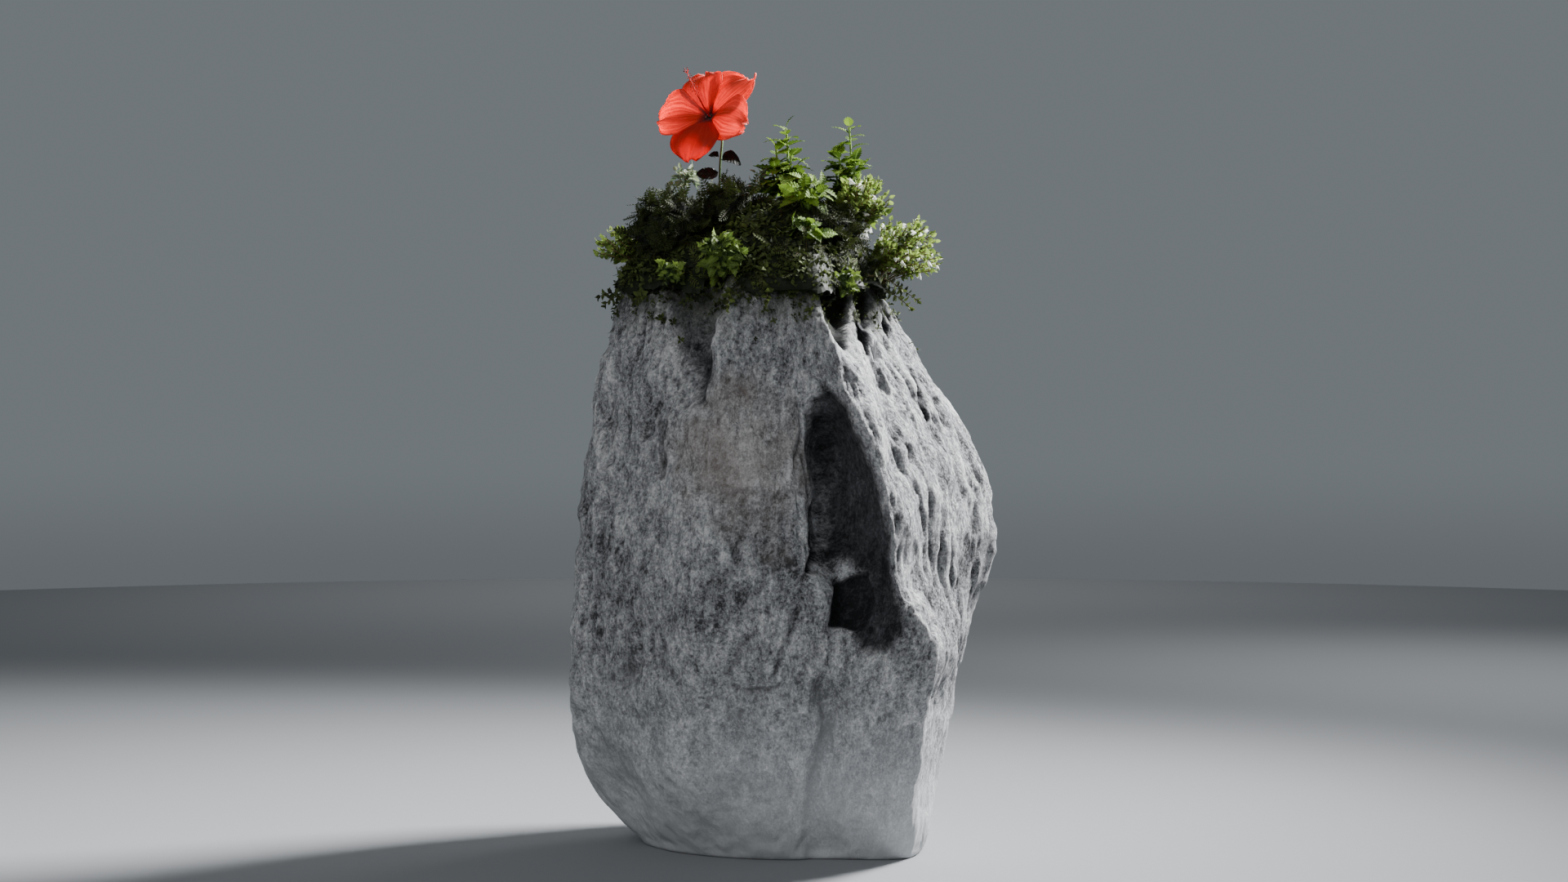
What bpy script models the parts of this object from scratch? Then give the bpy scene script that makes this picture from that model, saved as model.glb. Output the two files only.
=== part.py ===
"""A standing stone with plants rooted on its crown and one red hibiscus above them.

+X is to the right of the front view, the front faces -Y and +Z is up. The origin is on the
ground, in the middle of the flat foot that the stone stands on. Sizes are in metres.
"""

import math

import bmesh
import bpy
import numpy as np
from mathutils import Vector, noise

# The clearance round each cut body, and how near two points are merged after a cut or at a cap.
GAP = 0.0005
CUT_WELD = 0.000005
CAP_WELD = 0.00001
SHARP_ANGLE = math.radians(35)
STONE_HEIGHT = 0.775

# The stone's outline as (height, distance from the upright axis), for each of its four sides.
LEFT_SIDE = (
    (0.0, -0.172), (0.04, -0.216), (0.10, -0.254), (0.22, -0.268), (0.34, -0.262), (0.48, -0.243),
    (0.60, -0.224), (0.67, -0.202), (0.715, -0.165), (0.75, -0.110), (0.775, -0.050),
)
RIGHT_SIDE = (
    (0.0, 0.172), (0.10, 0.197), (0.20, 0.216), (0.30, 0.246), (0.38, 0.263), (0.44, 0.254),
    (0.52, 0.220), (0.60, 0.177), (0.67, 0.141), (0.715, 0.112), (0.75, 0.074), (0.775, 0.034),
)
FRONT_SIDE = (
    (0.0, -0.120), (0.05, -0.150), (0.18, -0.190), (0.34, -0.206), (0.50, -0.192), (0.62, -0.164),
    (0.68, -0.142), (0.72, -0.112), (0.75, -0.074), (0.775, -0.034),
)
BACK_SIDE = (
    (0.0, 0.118), (0.05, 0.150), (0.18, 0.190), (0.36, 0.212), (0.50, 0.194), (0.62, 0.156),
    (0.68, 0.130), (0.72, 0.100), (0.75, 0.066), (0.775, 0.030),
)

# Cleaved faces round the stone: the way each one looks, in degrees right of the front, and how
# far it stands from the axis where 1 is the outline. They meet in the long upright edges.
CLEAVED_FACES = ((-6, 0.97), (96, 0.98), (128, 0.92), (176, 0.97), (-140, 0.92), (-92, 0.99), (-47, 0.93))
LIT_FACE_HIGH = (61, 0.875)
LIT_FACE_LOW = (80, 0.955)
EDGE_ROUNDNESS = 0.014
FOOT_ROUNDNESS = 0.10

# Columns of points round the stone, as (from degrees, to degrees, columns): they stand closest
# together in the gully, then on the rest of the front and right.
COLUMN_ARCS = ((-70, 0, 13), (0, 56, 18), (56, 110, 8), (110, 290, 15))

# Heights of the rings of points: even up the bare stone, then a few under the plants.
RING_HEIGHTS = (*(0.0202 * i for i in range(33)), 0.676, 0.708, 0.742, STONE_HEIGHT)

# The creeping carpet over the crown.
MAT_LOW = 0.624
MAT_RIM = 0.644
MAT_THICKNESS = 0.013
MAT_ROOT = 0.012
MAT_RINGS = 8

# The hibiscus: where its throat is, which way it looks, and its petals as (angle round the
# flower in degrees, length, half width).
FLOWER_CENTRE = (-0.0895, -0.045, 0.8825)
FLOWER_FACING = (-0.38, -0.83, 0.42)
PETALS = (
    (52, 0.067, 0.031), (122, 0.056, 0.030), (195, 0.064, 0.029), (268, 0.064, 0.033), (346, 0.058, 0.031),
)
PETAL_THICKNESS = 0.0008
LEAF_THICKNESS = 0.0007
PETAL_TWIST = 0.15
THROAT_RADIUS = 0.004
CLAW_LENGTH = 0.006
TRUMPET_DEPTH = 0.016
ROLL_BACK = 0.012
CALYX_LENGTH = 0.034
CALYX_PROFILE = (
    (1.0, 0.0024, 1.0), (0.93, 0.0050, 2.1), (0.80, 0.0056, 1.1), (0.5, 0.0074, 1.12),
    (0.2, 0.0066, 1.12), (0.035, 0.0052, 1.12),
)
COLUMN_LENGTH = 0.064
COLUMN_RISE = 0.026
COLUMN_LEAN = 0.008
COLUMN_RADIUS = 0.0015
JOINT_GAP = 0.0006
STALK_STRAIGHT = 0.004
STEM_RADIUS = 0.0017
STEM_PATH = (
    (-0.0755, -0.018, 0.852), (-0.0775, -0.017, 0.835), (-0.0785, -0.016, 0.810), (-0.078, -0.016, 0.700),
)

# Leaves on the stem: name, rise from the joint, way out, way up, length, half width and curl.
LEAF_STALK = 0.0013
LEAVES = (
    ("hibiscus_leaf_small", 0.002, (-0.85, -0.45, 0.30), (0.2, -0.5, 0.8), 0.012, 0.005, 0.5),
    ("hibiscus_leaf_curled", -0.003, (0.80, -0.55, 0.10), (-0.3, -0.6, 0.7), 0.024, 0.009, 0.55),
    ("hibiscus_leaf_oval", -0.018, (-0.95, -0.30, 0.02), (0.0, -0.75, 0.6), 0.027, 0.0080, 0.15),
)

# Upright leafy shoots: name, foot, height, leaf reach, pairs of leaves, turn in degrees.
SHOOTS = (
    ("nettle_shoot_left", (0.0005, 0.0, 0.778), 0.107, 0.031, 5, 10),
    ("nettle_shoot_right", (0.080, 0.005, 0.760), 0.130, 0.034, 6, 35),
)

SHOOT_TIP = 0.0016

# Bushy plants: name, centre, half sizes and kind of green. Those up to the small size have fewer
# faces, and each one's lumps are read a step further along the same noise.
SMALL_MOUND = 0.033
LUMP_STEP = 1.37
MOUNDS = (
    ("back_fern_mound_left", (-0.110, 0.072, 0.735), (0.062, 0.052, 0.045), "fern"),
    ("back_fern_mound_right", (0.030, 0.078, 0.735), (0.075, 0.052, 0.047), "fern"),
    ("middle_fern_mound", (-0.062, -0.025, 0.761), (0.054, 0.058, 0.046), "fern"),
    ("left_fern_mound", (-0.137, -0.046, 0.742), (0.060, 0.058, 0.056), "fern"),
    ("right_fern_mound", (0.038, -0.040, 0.738), (0.060, 0.056, 0.044), "fern"),
    ("flowering_bush_right", (0.148, 0.000, 0.722), (0.047, 0.050, 0.050), "bush"),
    ("flowering_bush_upper", (0.096, -0.025, 0.783), (0.040, 0.034, 0.036), "bush"),
    ("left_trailing_plant", (-0.1965, -0.020, 0.726), (0.034, 0.034, 0.026), "bush"),
    ("front_tuft_middle", (-0.070, -0.128, 0.706), (0.033, 0.028, 0.035), "nettle"),
    ("front_tuft_left", (-0.135, -0.130, 0.690), (0.020, 0.020, 0.019), "nettle"),
    ("front_tuft_right", (0.072, -0.108, 0.680), (0.020, 0.020, 0.020), "nettle"),
    ("nettle_clump_front", (0.0244, -0.060, 0.7755), (0.034, 0.028, 0.039), "nettle"),
    ("nettle_clump_low", (0.023, -0.098, 0.732), (0.030, 0.025, 0.027), "nettle"),
    ("pale_sprig_left", (-0.1235, 0.030, 0.813), (0.017, 0.017, 0.022), "bush"),
    ("pale_sprig_middle", (-0.030, -0.015, 0.800), (0.011, 0.011, 0.026), "bush"),
)


def curve_at(points, at):
    """A smooth curve through (place, value) points, read at one place."""
    places, values = np.array(points, float).T
    slopes = np.gradient(values, places)
    i = int(np.clip(np.searchsorted(places, at) - 1, 0, len(places) - 2))
    span = places[i + 1] - places[i]
    t = min(max((at - places[i]) / span, 0.0), 1.0)
    return float(
        (2 * t**3 - 3 * t**2 + 1) * values[i]
        + (t**3 - 2 * t**2 + t) * span * slopes[i]
        + (3 * t**2 - 2 * t**3) * values[i + 1]
        + (t**3 - t**2) * span * slopes[i + 1]
    )


def line_at(points, at):
    """Straight lines through (place, value) points, read at one place."""
    places, values = zip(*points)
    return float(np.interp(at, places, values))


def ramp(value, start, end):
    """0 at start and 1 at end, eased at both."""
    t = min(max((value - start) / (end - start), 0.0), 1.0)
    return t * t * (3 - 2 * t)


def gully(x, z):
    """The deep hollow right of the front pillar: a steep left wall and a slope up to the arete."""
    wall = line_at(((0.26, 0.037), (0.344, 0.032), (0.436, 0.026), (0.54, 0.023)), z)
    crest = line_at(((0.26, 0.185), (0.30, 0.150), (0.344, 0.131), (0.436, 0.120), (0.54, 0.080)), z)
    depth = line_at(((0.25, 0.0), (0.31, 0.030), (0.41, 0.056), (0.49, 0.044), (0.548, 0.0)), z)
    across = min(max((x - wall + 0.006) / 0.022, 0.0), 1.0)
    rising = min(max((crest - x) / (crest - wall - 0.024), 0.0), 1.0)
    return depth * across * rising


def left_groove(x, z):
    """The shadowed groove left of the pillar, open at the crown and ending in a pocket."""
    pillar = line_at(((0.535, -0.0945), (0.576, -0.091), (0.643, -0.0725), (0.70, -0.055)), z)
    depth = line_at(((0.525, 0.0), (0.547, 0.026), (0.60, 0.030), (0.66, 0.030), (0.74, 0.012)), z)
    across = min(max((pillar - x) / 0.012, 0.0), 1.0)
    fading = min(max(1 - (pillar - 0.020 - x) / 0.052, 0.0), 1.0)
    return depth * across * fading


def side_channel(x, z):
    """The narrow channel further left, between the groove and the left edge."""
    middle = line_at(((0.42, -0.147), (0.50, -0.146), (0.56, -0.157)), z)
    depth = line_at(((0.405, 0.0), (0.45, 0.012), (0.53, 0.012), (0.57, 0.0)), z)
    return depth * max(0.0, 1 - abs(x - middle) / 0.017)


def broken_patch(x, z):
    """The shallow scar under the ledge that crosses the pillar."""
    ledge = 0.431 - 3.0 * (x + 0.030) ** 2
    below = min(max((ledge - z) / 0.008, 0.0), 1.0) * min(max((z - 0.335) / 0.075, 0.0), 1.0)
    inside = ramp(x, -0.092, -0.078) * (1 - ramp(x, 0.016, 0.028))
    return 0.010 * below * inside


def nose_block(x, z):
    """The square block left standing in the gully, with a cavity to its right."""
    upright = ramp(z, 0.262, 0.300) * (1 - ramp(z, 0.330, 0.362))
    block = upright * ramp(x, 0.022, 0.042) * (1 - ramp(x, 0.052, 0.072))
    cavity = upright * ramp(x, 0.062, 0.080) * (1 - ramp(x, 0.086, 0.108))
    return 0.010 * cavity - 0.014 * block


def foot_facets(x, z):
    """The chipped left foot, and the step that runs down the middle of the foot."""
    ridge = line_at(((0.0, -0.140), (0.034, -0.153), (0.091, -0.177), (0.162, -0.218), (0.24, -0.25)), z)
    chipped = 0.95 * max(0.0, ridge - x) * (1 - ramp(z, 0.15, 0.24))
    step_line = line_at(((0.02, 0.024), (0.057, 0.028), (0.127, 0.0375), (0.171, 0.051), (0.213, 0.037)), z)
    step = 0.009 * ramp(x, step_line - 0.006, step_line + 0.006) * (1 - ramp(z, 0.18, 0.225))
    return min(chipped, 0.055) + step


def front_relief(x, z):
    """How far the front is carved back, in metres, at a place seen from the front."""
    features = (gully, left_groove, side_channel, broken_patch, nose_block, foot_facets)
    return sum(feature(x, z) for feature in features)


def crown_flutes(angle, z):
    """Rounded flutes with sharp ribs between them, deepest at the crown and gone by mid-height."""
    first_flute, spacing = 34.0, 26.5
    off_centre = abs((angle - first_flute) / spacing - round((angle - first_flute) / spacing))
    depth = line_at(((0.53, 0.0), (0.59, 0.009), (0.65, 0.024), (0.73, 0.020), (0.775, 0.004)), z)
    fluted = ramp(angle, 20.0, 24.0) * (1 - ramp(angle, 165.0, 180.0))
    return depth * fluted * (1 - (2 * off_centre) ** 2)


def back_channels(angle, z):
    """Two worn channels down the hidden side, like those on the front."""
    total = 0.0
    for middle, spread, low, high, depth in ((-158, 15, 0.24, 0.66, 0.022), (-118, 10, 0.42, 0.74, 0.016)):
        across = max(0.0, 1 - abs(angle - middle - 12 * (z - 0.4)) / spread)
        total += depth * across * ramp(z, low, low + 0.1) * (1 - ramp(z, high, high + 0.06))
    return total


def weathering(x, y, z):
    """Soft lumps and hollows, longer up the stone than across it."""
    broad = noise.noise(Vector((x * 9, y * 9, z * 5)) + Vector((3.1, 0.7, 5.2)))
    small = noise.noise(Vector((x * 24, y * 24, z * 13)) + Vector((8.3, 2.9, 1.4)))
    return 0.0075 * broad + 0.0035 * small


def column_angles():
    """Degrees right of the front for each column of points, all the way round."""
    arcs = [np.linspace(low, high, count, endpoint=False) for low, high, count in COLUMN_ARCS]
    return [float(angle) for angle in np.concatenate(arcs)]


def faceted_outline(angles, z):
    """The stone's plan at one height as points on a unit square, with straight cleaved faces."""
    turned = 1 - ramp(z, 0.24, 0.36)
    roundness = EDGE_ROUNDNESS + FOOT_ROUNDNESS * (1 - ramp(z, 0.0, 0.09))
    lit = tuple(h + (l - h) * turned for h, l in zip(LIT_FACE_HIGH, LIT_FACE_LOW))
    points = []
    for angle in angles:
        reaches = [
            distance / math.cos(math.radians(angle - way))
            for way, distance in (*CLEAVED_FACES, lit)
            if math.cos(math.radians(angle - way)) > 0.15
        ]
        nearest = min(reaches)
        total = sum(math.exp((nearest - r) / roundness) for r in reaches)
        reach = nearest - roundness * math.log(total)
        points.append((reach * math.sin(math.radians(angle)), -reach * math.cos(math.radians(angle))))
    across, along = np.array(points).T
    across = np.where(across > 0, across / across.max(), across / -across.min())
    along = np.where(along > 0, along / along.max(), along / -along.min())
    return across, along


def stone_ring(z):
    """The stone's outline at one height, all relief included."""
    angles = column_angles()
    left, right, front, back = (
        curve_at(side, z) for side in (LEFT_SIDE, RIGHT_SIDE, FRONT_SIDE, BACK_SIDE)
    )
    across, along = faceted_outline(angles, z)
    ring = []
    for angle, u, v in zip(angles, across, along):
        x = (left + right) / 2 + u * (right - left) / 2
        y = (front + back) / 2 + v * (back - front) / 2
        outward = Vector((x, y, 0)).normalized()
        signed = (angle + 180) % 360 - 180
        facing = ramp(-outward.y, 0.1, 0.55)
        carved = crown_flutes(signed, z) + back_channels(signed, z)
        swell = weathering(x, y, z) * ramp(z, -0.01, 0.04) - carved
        point = Vector((x, y, z)) + outward * swell
        point.y += front_relief(x, z) * facing
        ring.append(point)
    return ring


def new_object(name, bm, material):
    """A named mesh object of flat triangles, every one turned outwards."""
    bmesh.ops.triangulate(bm, faces=bm.faces)
    bmesh.ops.recalc_face_normals(bm, faces=bm.faces)
    if bm.calc_volume(signed=True) < 0:
        bmesh.ops.reverse_faces(bm, faces=bm.faces)
    mesh = bpy.data.meshes.new(name)
    bm.to_mesh(mesh)
    bm.free()
    mesh.shade_smooth()
    mesh.set_sharp_from_angle(angle=SHARP_ANGLE)
    mesh.materials.append(material)
    obj = bpy.data.objects.new(name, mesh)
    PARTS.objects.link(obj)
    return obj


def loft(name, rings, material):
    """A closed body through rings of the same number of points, flat at both ends."""
    bm = bmesh.new()
    rows = [[bm.verts.new(p) for p in ring] for ring in rings]
    for low, high in zip(rows, rows[1:]):
        for i in range(len(low)):
            j = (i + 1) % len(low)
            bm.faces.new((low[i], low[j], high[j], high[i]))
    bm.faces.new(rows[0])
    bm.faces.new(rows[-1])
    return new_object(name, bm, material)


def material_of(name, colour, roughness):
    """A plain Principled finish; the colour is linear red, green and blue."""
    material = bpy.data.materials.new(name)
    material.use_nodes = True
    shader = material.node_tree.nodes["Principled BSDF"]
    shader.inputs["Base Color"].default_value = (*colour, 1.0)
    shader.inputs["Roughness"].default_value = roughness
    shader.inputs["Metallic"].default_value = 0.0
    return material


def bodies_of(bm):
    """The separate bodies of a mesh, each as the set of its points."""
    unseen, bodies = set(bm.verts), []
    while unseen:
        body, reached = set(), [unseen.pop()]
        while reached:
            vert = reached.pop()
            body.add(vert)
            for edge in vert.link_edges:
                other = edge.other_vert(vert)
                if other in unseen:
                    unseen.discard(other)
                    reached.append(other)
        bodies.append(body)
    return bodies


def baked(obj):
    """The object with its modifiers applied, and only its largest body kept."""
    graph = bpy.context.evaluated_depsgraph_get()
    mesh = bpy.data.meshes.new_from_object(obj.evaluated_get(graph))
    bm = bmesh.new()
    bm.from_mesh(mesh)
    bmesh.ops.remove_doubles(bm, verts=bm.verts, dist=CUT_WELD)
    largest = max(bodies_of(bm), key=len)
    bmesh.ops.delete(bm, geom=[v for v in bm.verts if v not in largest], context="VERTS")
    bm.to_mesh(mesh)
    bm.free()
    mesh.set_sharp_from_angle(angle=SHARP_ANGLE)
    obj.modifiers.clear()
    old, obj.data = obj.data, mesh
    bpy.data.meshes.remove(old)
    return obj


def cutter_of(obj):
    """A hidden copy of a body, grown by the gap that is left around it."""
    copy = obj.copy()
    copy.data = obj.data.copy()
    copy.name = obj.name + "_cutter"
    copy.hide_render = True
    copy.display_type = "WIRE"
    CUTTERS.objects.link(copy)
    swell = copy.modifiers.new("grow", "DISPLACE")
    swell.strength = GAP
    swell.mid_level = 0.0
    return copy


def clear_of(obj, cutters):
    """Cuts a plant's body back from everything that it grows against."""
    for cutter in cutters:
        cut = obj.modifiers.new("clear_of_" + cutter.name, "BOOLEAN")
        cut.operation = "DIFFERENCE"
        cut.object = cutter
    return baked(obj)


def boxes_meet(first, second):
    """Whether the boxes round two pieces come within the gap of each other."""
    bounds = []
    for obj in (first, second):
        corners = np.array([vert.co for vert in obj.data.vertices])
        bounds.append((corners.min(0) - 2 * GAP, corners.max(0) + 2 * GAP))
    (low_a, high_a), (low_b, high_b) = bounds
    return bool((low_a < high_b).all() and (low_b < high_a).all())


def stone(material):
    """The stone itself, lofted through its outlines from the flat foot to the crown."""
    return loft("stone", [stone_ring(z) for z in RING_HEIGHTS], material)


def ground_cover(material):
    """The carpet of creeping plants over the crown. Its rim sinks into the stone at a ragged line."""
    rings = []
    for i in range(MAT_RINGS + 1):
        z = MAT_LOW + (STONE_HEIGHT - MAT_LOW) * i / MAT_RINGS
        ring = []
        for angle, p in zip(column_angles(), stone_ring(z)):
            ragged = noise.noise(Vector((p.x * 26, p.y * 26, 4.0)))
            rim = MAT_RIM + 0.016 * ragged + 0.012 * math.sin(math.radians(angle)) ** 2
            thick = MAT_THICKNESS * (1 + 0.5 * noise.noise(p * 40)) * ramp(z, rim, rim + 0.03)
            outward = Vector((p.x, p.y, 0.055)).normalized()
            ring.append(p + outward * (thick - MAT_ROOT * (1 - ramp(z, rim - 0.012, rim + 0.01))))
        rings.append(ring[::2])
    return loft("ground_cover", rings, material)


def foliage_mound(name, centre, radii, seed, material):
    """The outer form of one bushy plant, lumpy where its leaf sprays end."""
    around = 12 if max(radii) > SMALL_MOUND else 8
    bm = bmesh.new()
    bmesh.ops.create_uvsphere(bm, u_segments=around, v_segments=around * 2 // 3, radius=1.0)
    for vert in bm.verts:
        way = vert.co.normalized()
        lumps = noise.noise(way * 2.3 + Vector((seed, 1.7, 0.4)))
        sprays = noise.noise(way * 6.1 + Vector((0.3, seed, 2.2)))
        reach = 0.93 + 0.16 * lumps + 0.16 * sprays
        vert.co = Vector(centre) + Vector([reach * w * r for w, r in zip(way, radii)])
    return new_object(name, bm, material)


def leafy_shoot(name, foot, height, reach, tiers, turn, material):
    """An upright shoot whose leaves stand in crossed pairs, each pair shorter than the one below."""
    columns = 8
    rings = []
    for tier in range(tiers):
        spread = reach * (1 - 0.72 * (tier / tiers) ** 1.4)
        stem = 0.22 * spread
        levels = ((0.05, stem, stem), (0.62, spread, 0.42 * spread), (0.80, 0.5 * spread, stem))
        for share, on_leaf, between in levels:
            rise = height * (tier + share) / tiers
            rings.append(shoot_ring(foot, rise, (on_leaf, between), turn + 45 * (tier % 2), columns))
    rings.append(shoot_ring(foot, height, (SHOOT_TIP, SHOOT_TIP), turn + 45 * (tiers % 2), columns))
    return loft(name, rings, material)


def shoot_ring(foot, rise, reaches, turn, columns):
    """One level of a shoot: its points reach out in turn along a leaf and between two leaves."""
    ring = []
    for column in range(columns):
        way = math.radians(turn + 360 * column / columns)
        out = reaches[column % 2]
        ring.append(Vector(foot) + Vector((out * math.sin(way), -out * math.cos(way), rise)))
    return ring


def blade(name, length, width_at, place, thickness, material, cells):
    """A thin petal or leaf: a grid laid out along and across the blade, then given its thickness."""
    bm = bmesh.new()
    bmesh.ops.create_grid(bm, x_segments=cells[0], y_segments=cells[1], size=1.0)
    for vert in bm.verts:
        along = (vert.co.x + 1) / 2
        across = vert.co.y
        vert.co = place(along * length, across * width_at(along), along, across)
    obj = new_object(name, bm, material)
    wall = obj.modifiers.new("thickness", "SOLIDIFY")
    wall.thickness = thickness
    wall.offset = 0.0
    return baked(obj)


def tube(name, points, radius, material, taper=1.0):
    """A stem as a curve with a round section, made a mesh so that plants can be cut clear of it."""
    curve = bpy.data.curves.new(name, "CURVE")
    curve.dimensions = "3D"
    curve.bevel_depth = radius
    curve.bevel_resolution = 2
    curve.use_fill_caps = True
    spline = curve.splines.new("POLY")
    spline.points.add(len(points) - 1)
    for i, (slot, point) in enumerate(zip(spline.points, points)):
        slot.co = (*point, 1.0)
        slot.radius = 1 + (taper - 1) * i / (len(points) - 1)
    guide = bpy.data.objects.new(name + "_guide", curve)
    PARTS.objects.link(guide)
    graph = bpy.context.evaluated_depsgraph_get()
    mesh = bpy.data.meshes.new_from_object(guide.evaluated_get(graph))
    bm = bmesh.new()
    bm.from_mesh(mesh)
    bmesh.ops.remove_doubles(bm, verts=bm.verts, dist=CAP_WELD)
    bpy.data.objects.remove(guide)
    bpy.data.meshes.remove(mesh)
    return new_object(name, bm, material)


def flower_frame():
    """The way the flower looks, and two directions across it: to its right and to its top."""
    ahead = Vector(FLOWER_FACING).normalized()
    right = Vector((0, 0, 1)).cross(ahead).normalized()
    return ahead, right, ahead.cross(right)


def petal(number, angle, length, widest, material):
    """One petal of the trumpet: narrow at the throat, wide and rounded at the rim, and rolled back."""
    ahead, right, top = flower_frame()
    way = math.radians(angle)
    out = right * math.cos(way) + top * math.sin(way)
    side = ahead.cross(out)

    def half_width(along):
        run = THROAT_RADIUS + along * length
        wedge = max(0.5 * run, run - CLAW_LENGTH / 2)
        past = max(along - 0.52, 0.0) / 0.50
        return min(wedge, widest * math.sqrt(max(1 - past**2, 0.10)))

    def place(run, offset, along, across):
        forward = TRUMPET_DEPTH * (1 - (1 - along) ** 2.6) - ROLL_BACK * along**3
        wave = 0.0022 * math.sin(5 * across + number) * along**2
        lift = ahead * (forward + wave + PETAL_TWIST * offset)
        rounded = -0.10 * length * abs(across) ** 2.4 * along**3
        return Vector(FLOWER_CENTRE) + out * (THROAT_RADIUS + run + rounded) + side * offset + lift

    return blade(f"hibiscus_petal_{number}", length, half_width, place, PETAL_THICKNESS, material, (6, 4))


def leaf(name, foot, out, up, length, half_width, curl, material):
    """A single oval leaf that leaves its stem along out, with its face towards up."""
    out, up = Vector(out).normalized(), Vector(up).normalized()
    side = up.cross(out).normalized()
    face = out.cross(side).normalized()

    def width_at(along):
        return half_width * max(math.sin(math.pi * min(along * 0.93 + 0.05, 1.0)) ** 0.8, 0.10)

    def place(run, offset, along, across):
        droop = -curl * length * along**2 + 0.12 * abs(offset)
        return Vector(foot) + out * run + side * offset + face * droop

    return blade(name, length, width_at, place, LEAF_THICKNESS, material, (4, 2))


def calyx(ahead, right, top):
    """The green cup behind the petals, with five ribs and five pointed bracts at its foot."""
    centre = Vector(FLOWER_CENTRE)
    rings = []
    for share, radius, rib_height in CALYX_PROFILE:
        middle = centre - ahead * CALYX_LENGTH * share
        ring = []
        for rib in range(10):
            way = math.radians(36 * rib)
            reach = radius * (rib_height if rib % 2 else 1.0)
            ring.append(middle + (right * math.cos(way) + top * math.sin(way)) * reach)
        rings.append(ring)
    return loft("hibiscus_calyx", rings, LEAF_GREEN)


def hibiscus():
    """The flower, its calyx and column, and three leaves on the stem."""
    ahead, right, top = flower_frame()
    centre = Vector(FLOWER_CENTRE)
    for number, (angle, length, widest) in enumerate(PETALS, start=1):
        petal(number, angle, length, widest, PETAL_RED)
    calyx(ahead, right, top)
    start = centre - ahead * JOINT_GAP
    bend = top * COLUMN_RISE - right * COLUMN_LEAN
    column = [start + ahead * COLUMN_LENGTH * t + bend * t**1.6 for t in (0.0, 0.25, 0.5, 0.75, 1.0)]
    tube("hibiscus_column", column, COLUMN_RADIUS, PETAL_RED, taper=0.7)
    joint = Vector(STEM_PATH[1])
    for name, rise, out, up, length, half_width, curl in LEAVES:
        aside = math.copysign(STEM_RADIUS + LEAF_STALK, out[0])
        foot = joint + Vector((aside, -STEM_RADIUS, rise))
        leaf(name, foot, out, up, length, half_width, curl, LEAF_GREEN)


def hibiscus_stem():
    """The flower's stem, from the foot of the calyx down to the plants on the crown."""
    ahead = flower_frame()[0]
    top = Vector(FLOWER_CENTRE) - ahead * (CALYX_LENGTH + JOINT_GAP)
    points = [top, top - ahead * STALK_STRAIGHT, *STEM_PATH]
    return tube("hibiscus_stem", points, STEM_RADIUS, STEM_GREEN)


for old in list(bpy.data.objects):
    bpy.data.objects.remove(old)
PARTS = bpy.data.collections.new("standing_stone")
CUTTERS = bpy.data.collections.new("cutters")
bpy.context.scene.collection.children.link(PARTS)
bpy.context.scene.collection.children.link(CUTTERS)

STONE_GREY = material_of("grey_stone", (0.16, 0.16, 0.165), 0.9)
MOSS_GREEN = material_of("creeping_green", (0.035, 0.055, 0.012), 0.8)
FERN_GREEN = material_of("dark_fern_green", (0.03, 0.05, 0.012), 0.7)
NETTLE_GREEN = material_of("nettle_green", (0.10, 0.19, 0.02), 0.6)
BUSH_GREEN = material_of("pale_bush_green", (0.16, 0.22, 0.06), 0.6)
PETAL_RED = material_of("petal_red", (0.75, 0.03, 0.015), 0.5)
LEAF_GREEN = material_of("hibiscus_leaf_green", (0.015, 0.035, 0.015), 0.4)
STEM_GREEN = material_of("hibiscus_stem_green", (0.10, 0.17, 0.05), 0.5)

the_stone = stone(STONE_GREY)
stone_cutter = cutter_of(the_stone)
cover = ground_cover(MOSS_GREEN)
ground_cutter = cutter_of(cover)
join = ground_cutter.modifiers.new("stone", "BOOLEAN")
join.operation = "UNION"
join.object = stone_cutter
baked(ground_cutter)
clear_of(cover, [stone_cutter])

GREENS = {"bush": BUSH_GREEN, "nettle": NETTLE_GREEN, "fern": FERN_GREEN}
plants = [
    foliage_mound(name, centre, radii, i * LUMP_STEP, GREENS[green])
    for i, (name, centre, radii, green) in enumerate(MOUNDS)
]
plants += [leafy_shoot(*shoot, NETTLE_GREEN) for shoot in SHOOTS]
plants.append(hibiscus_stem())
hibiscus()
standing = []
for plant in plants:
    cutter = cutter_of(plant)
    clear_of(plant, [ground_cutter] + [near for other, near in standing if boxes_meet(plant, other)])
    standing.append((plant, cutter))
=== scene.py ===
# %% [markdown]
# # A standing stone with a planted crown
# The real object is a boulder almost a metre tall. Ferns, nettles and small flowering bushes root
# on its crown, and one red hibiscus stands above them. This lesson dresses the measured solids
# of that object with fine surfaces: weathered rock, thousands of leaves, and thin petals.

# %% Load the measured solids
import math
import random

import bmesh
import bpy
import numpy as np
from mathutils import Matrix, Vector, noise


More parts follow.
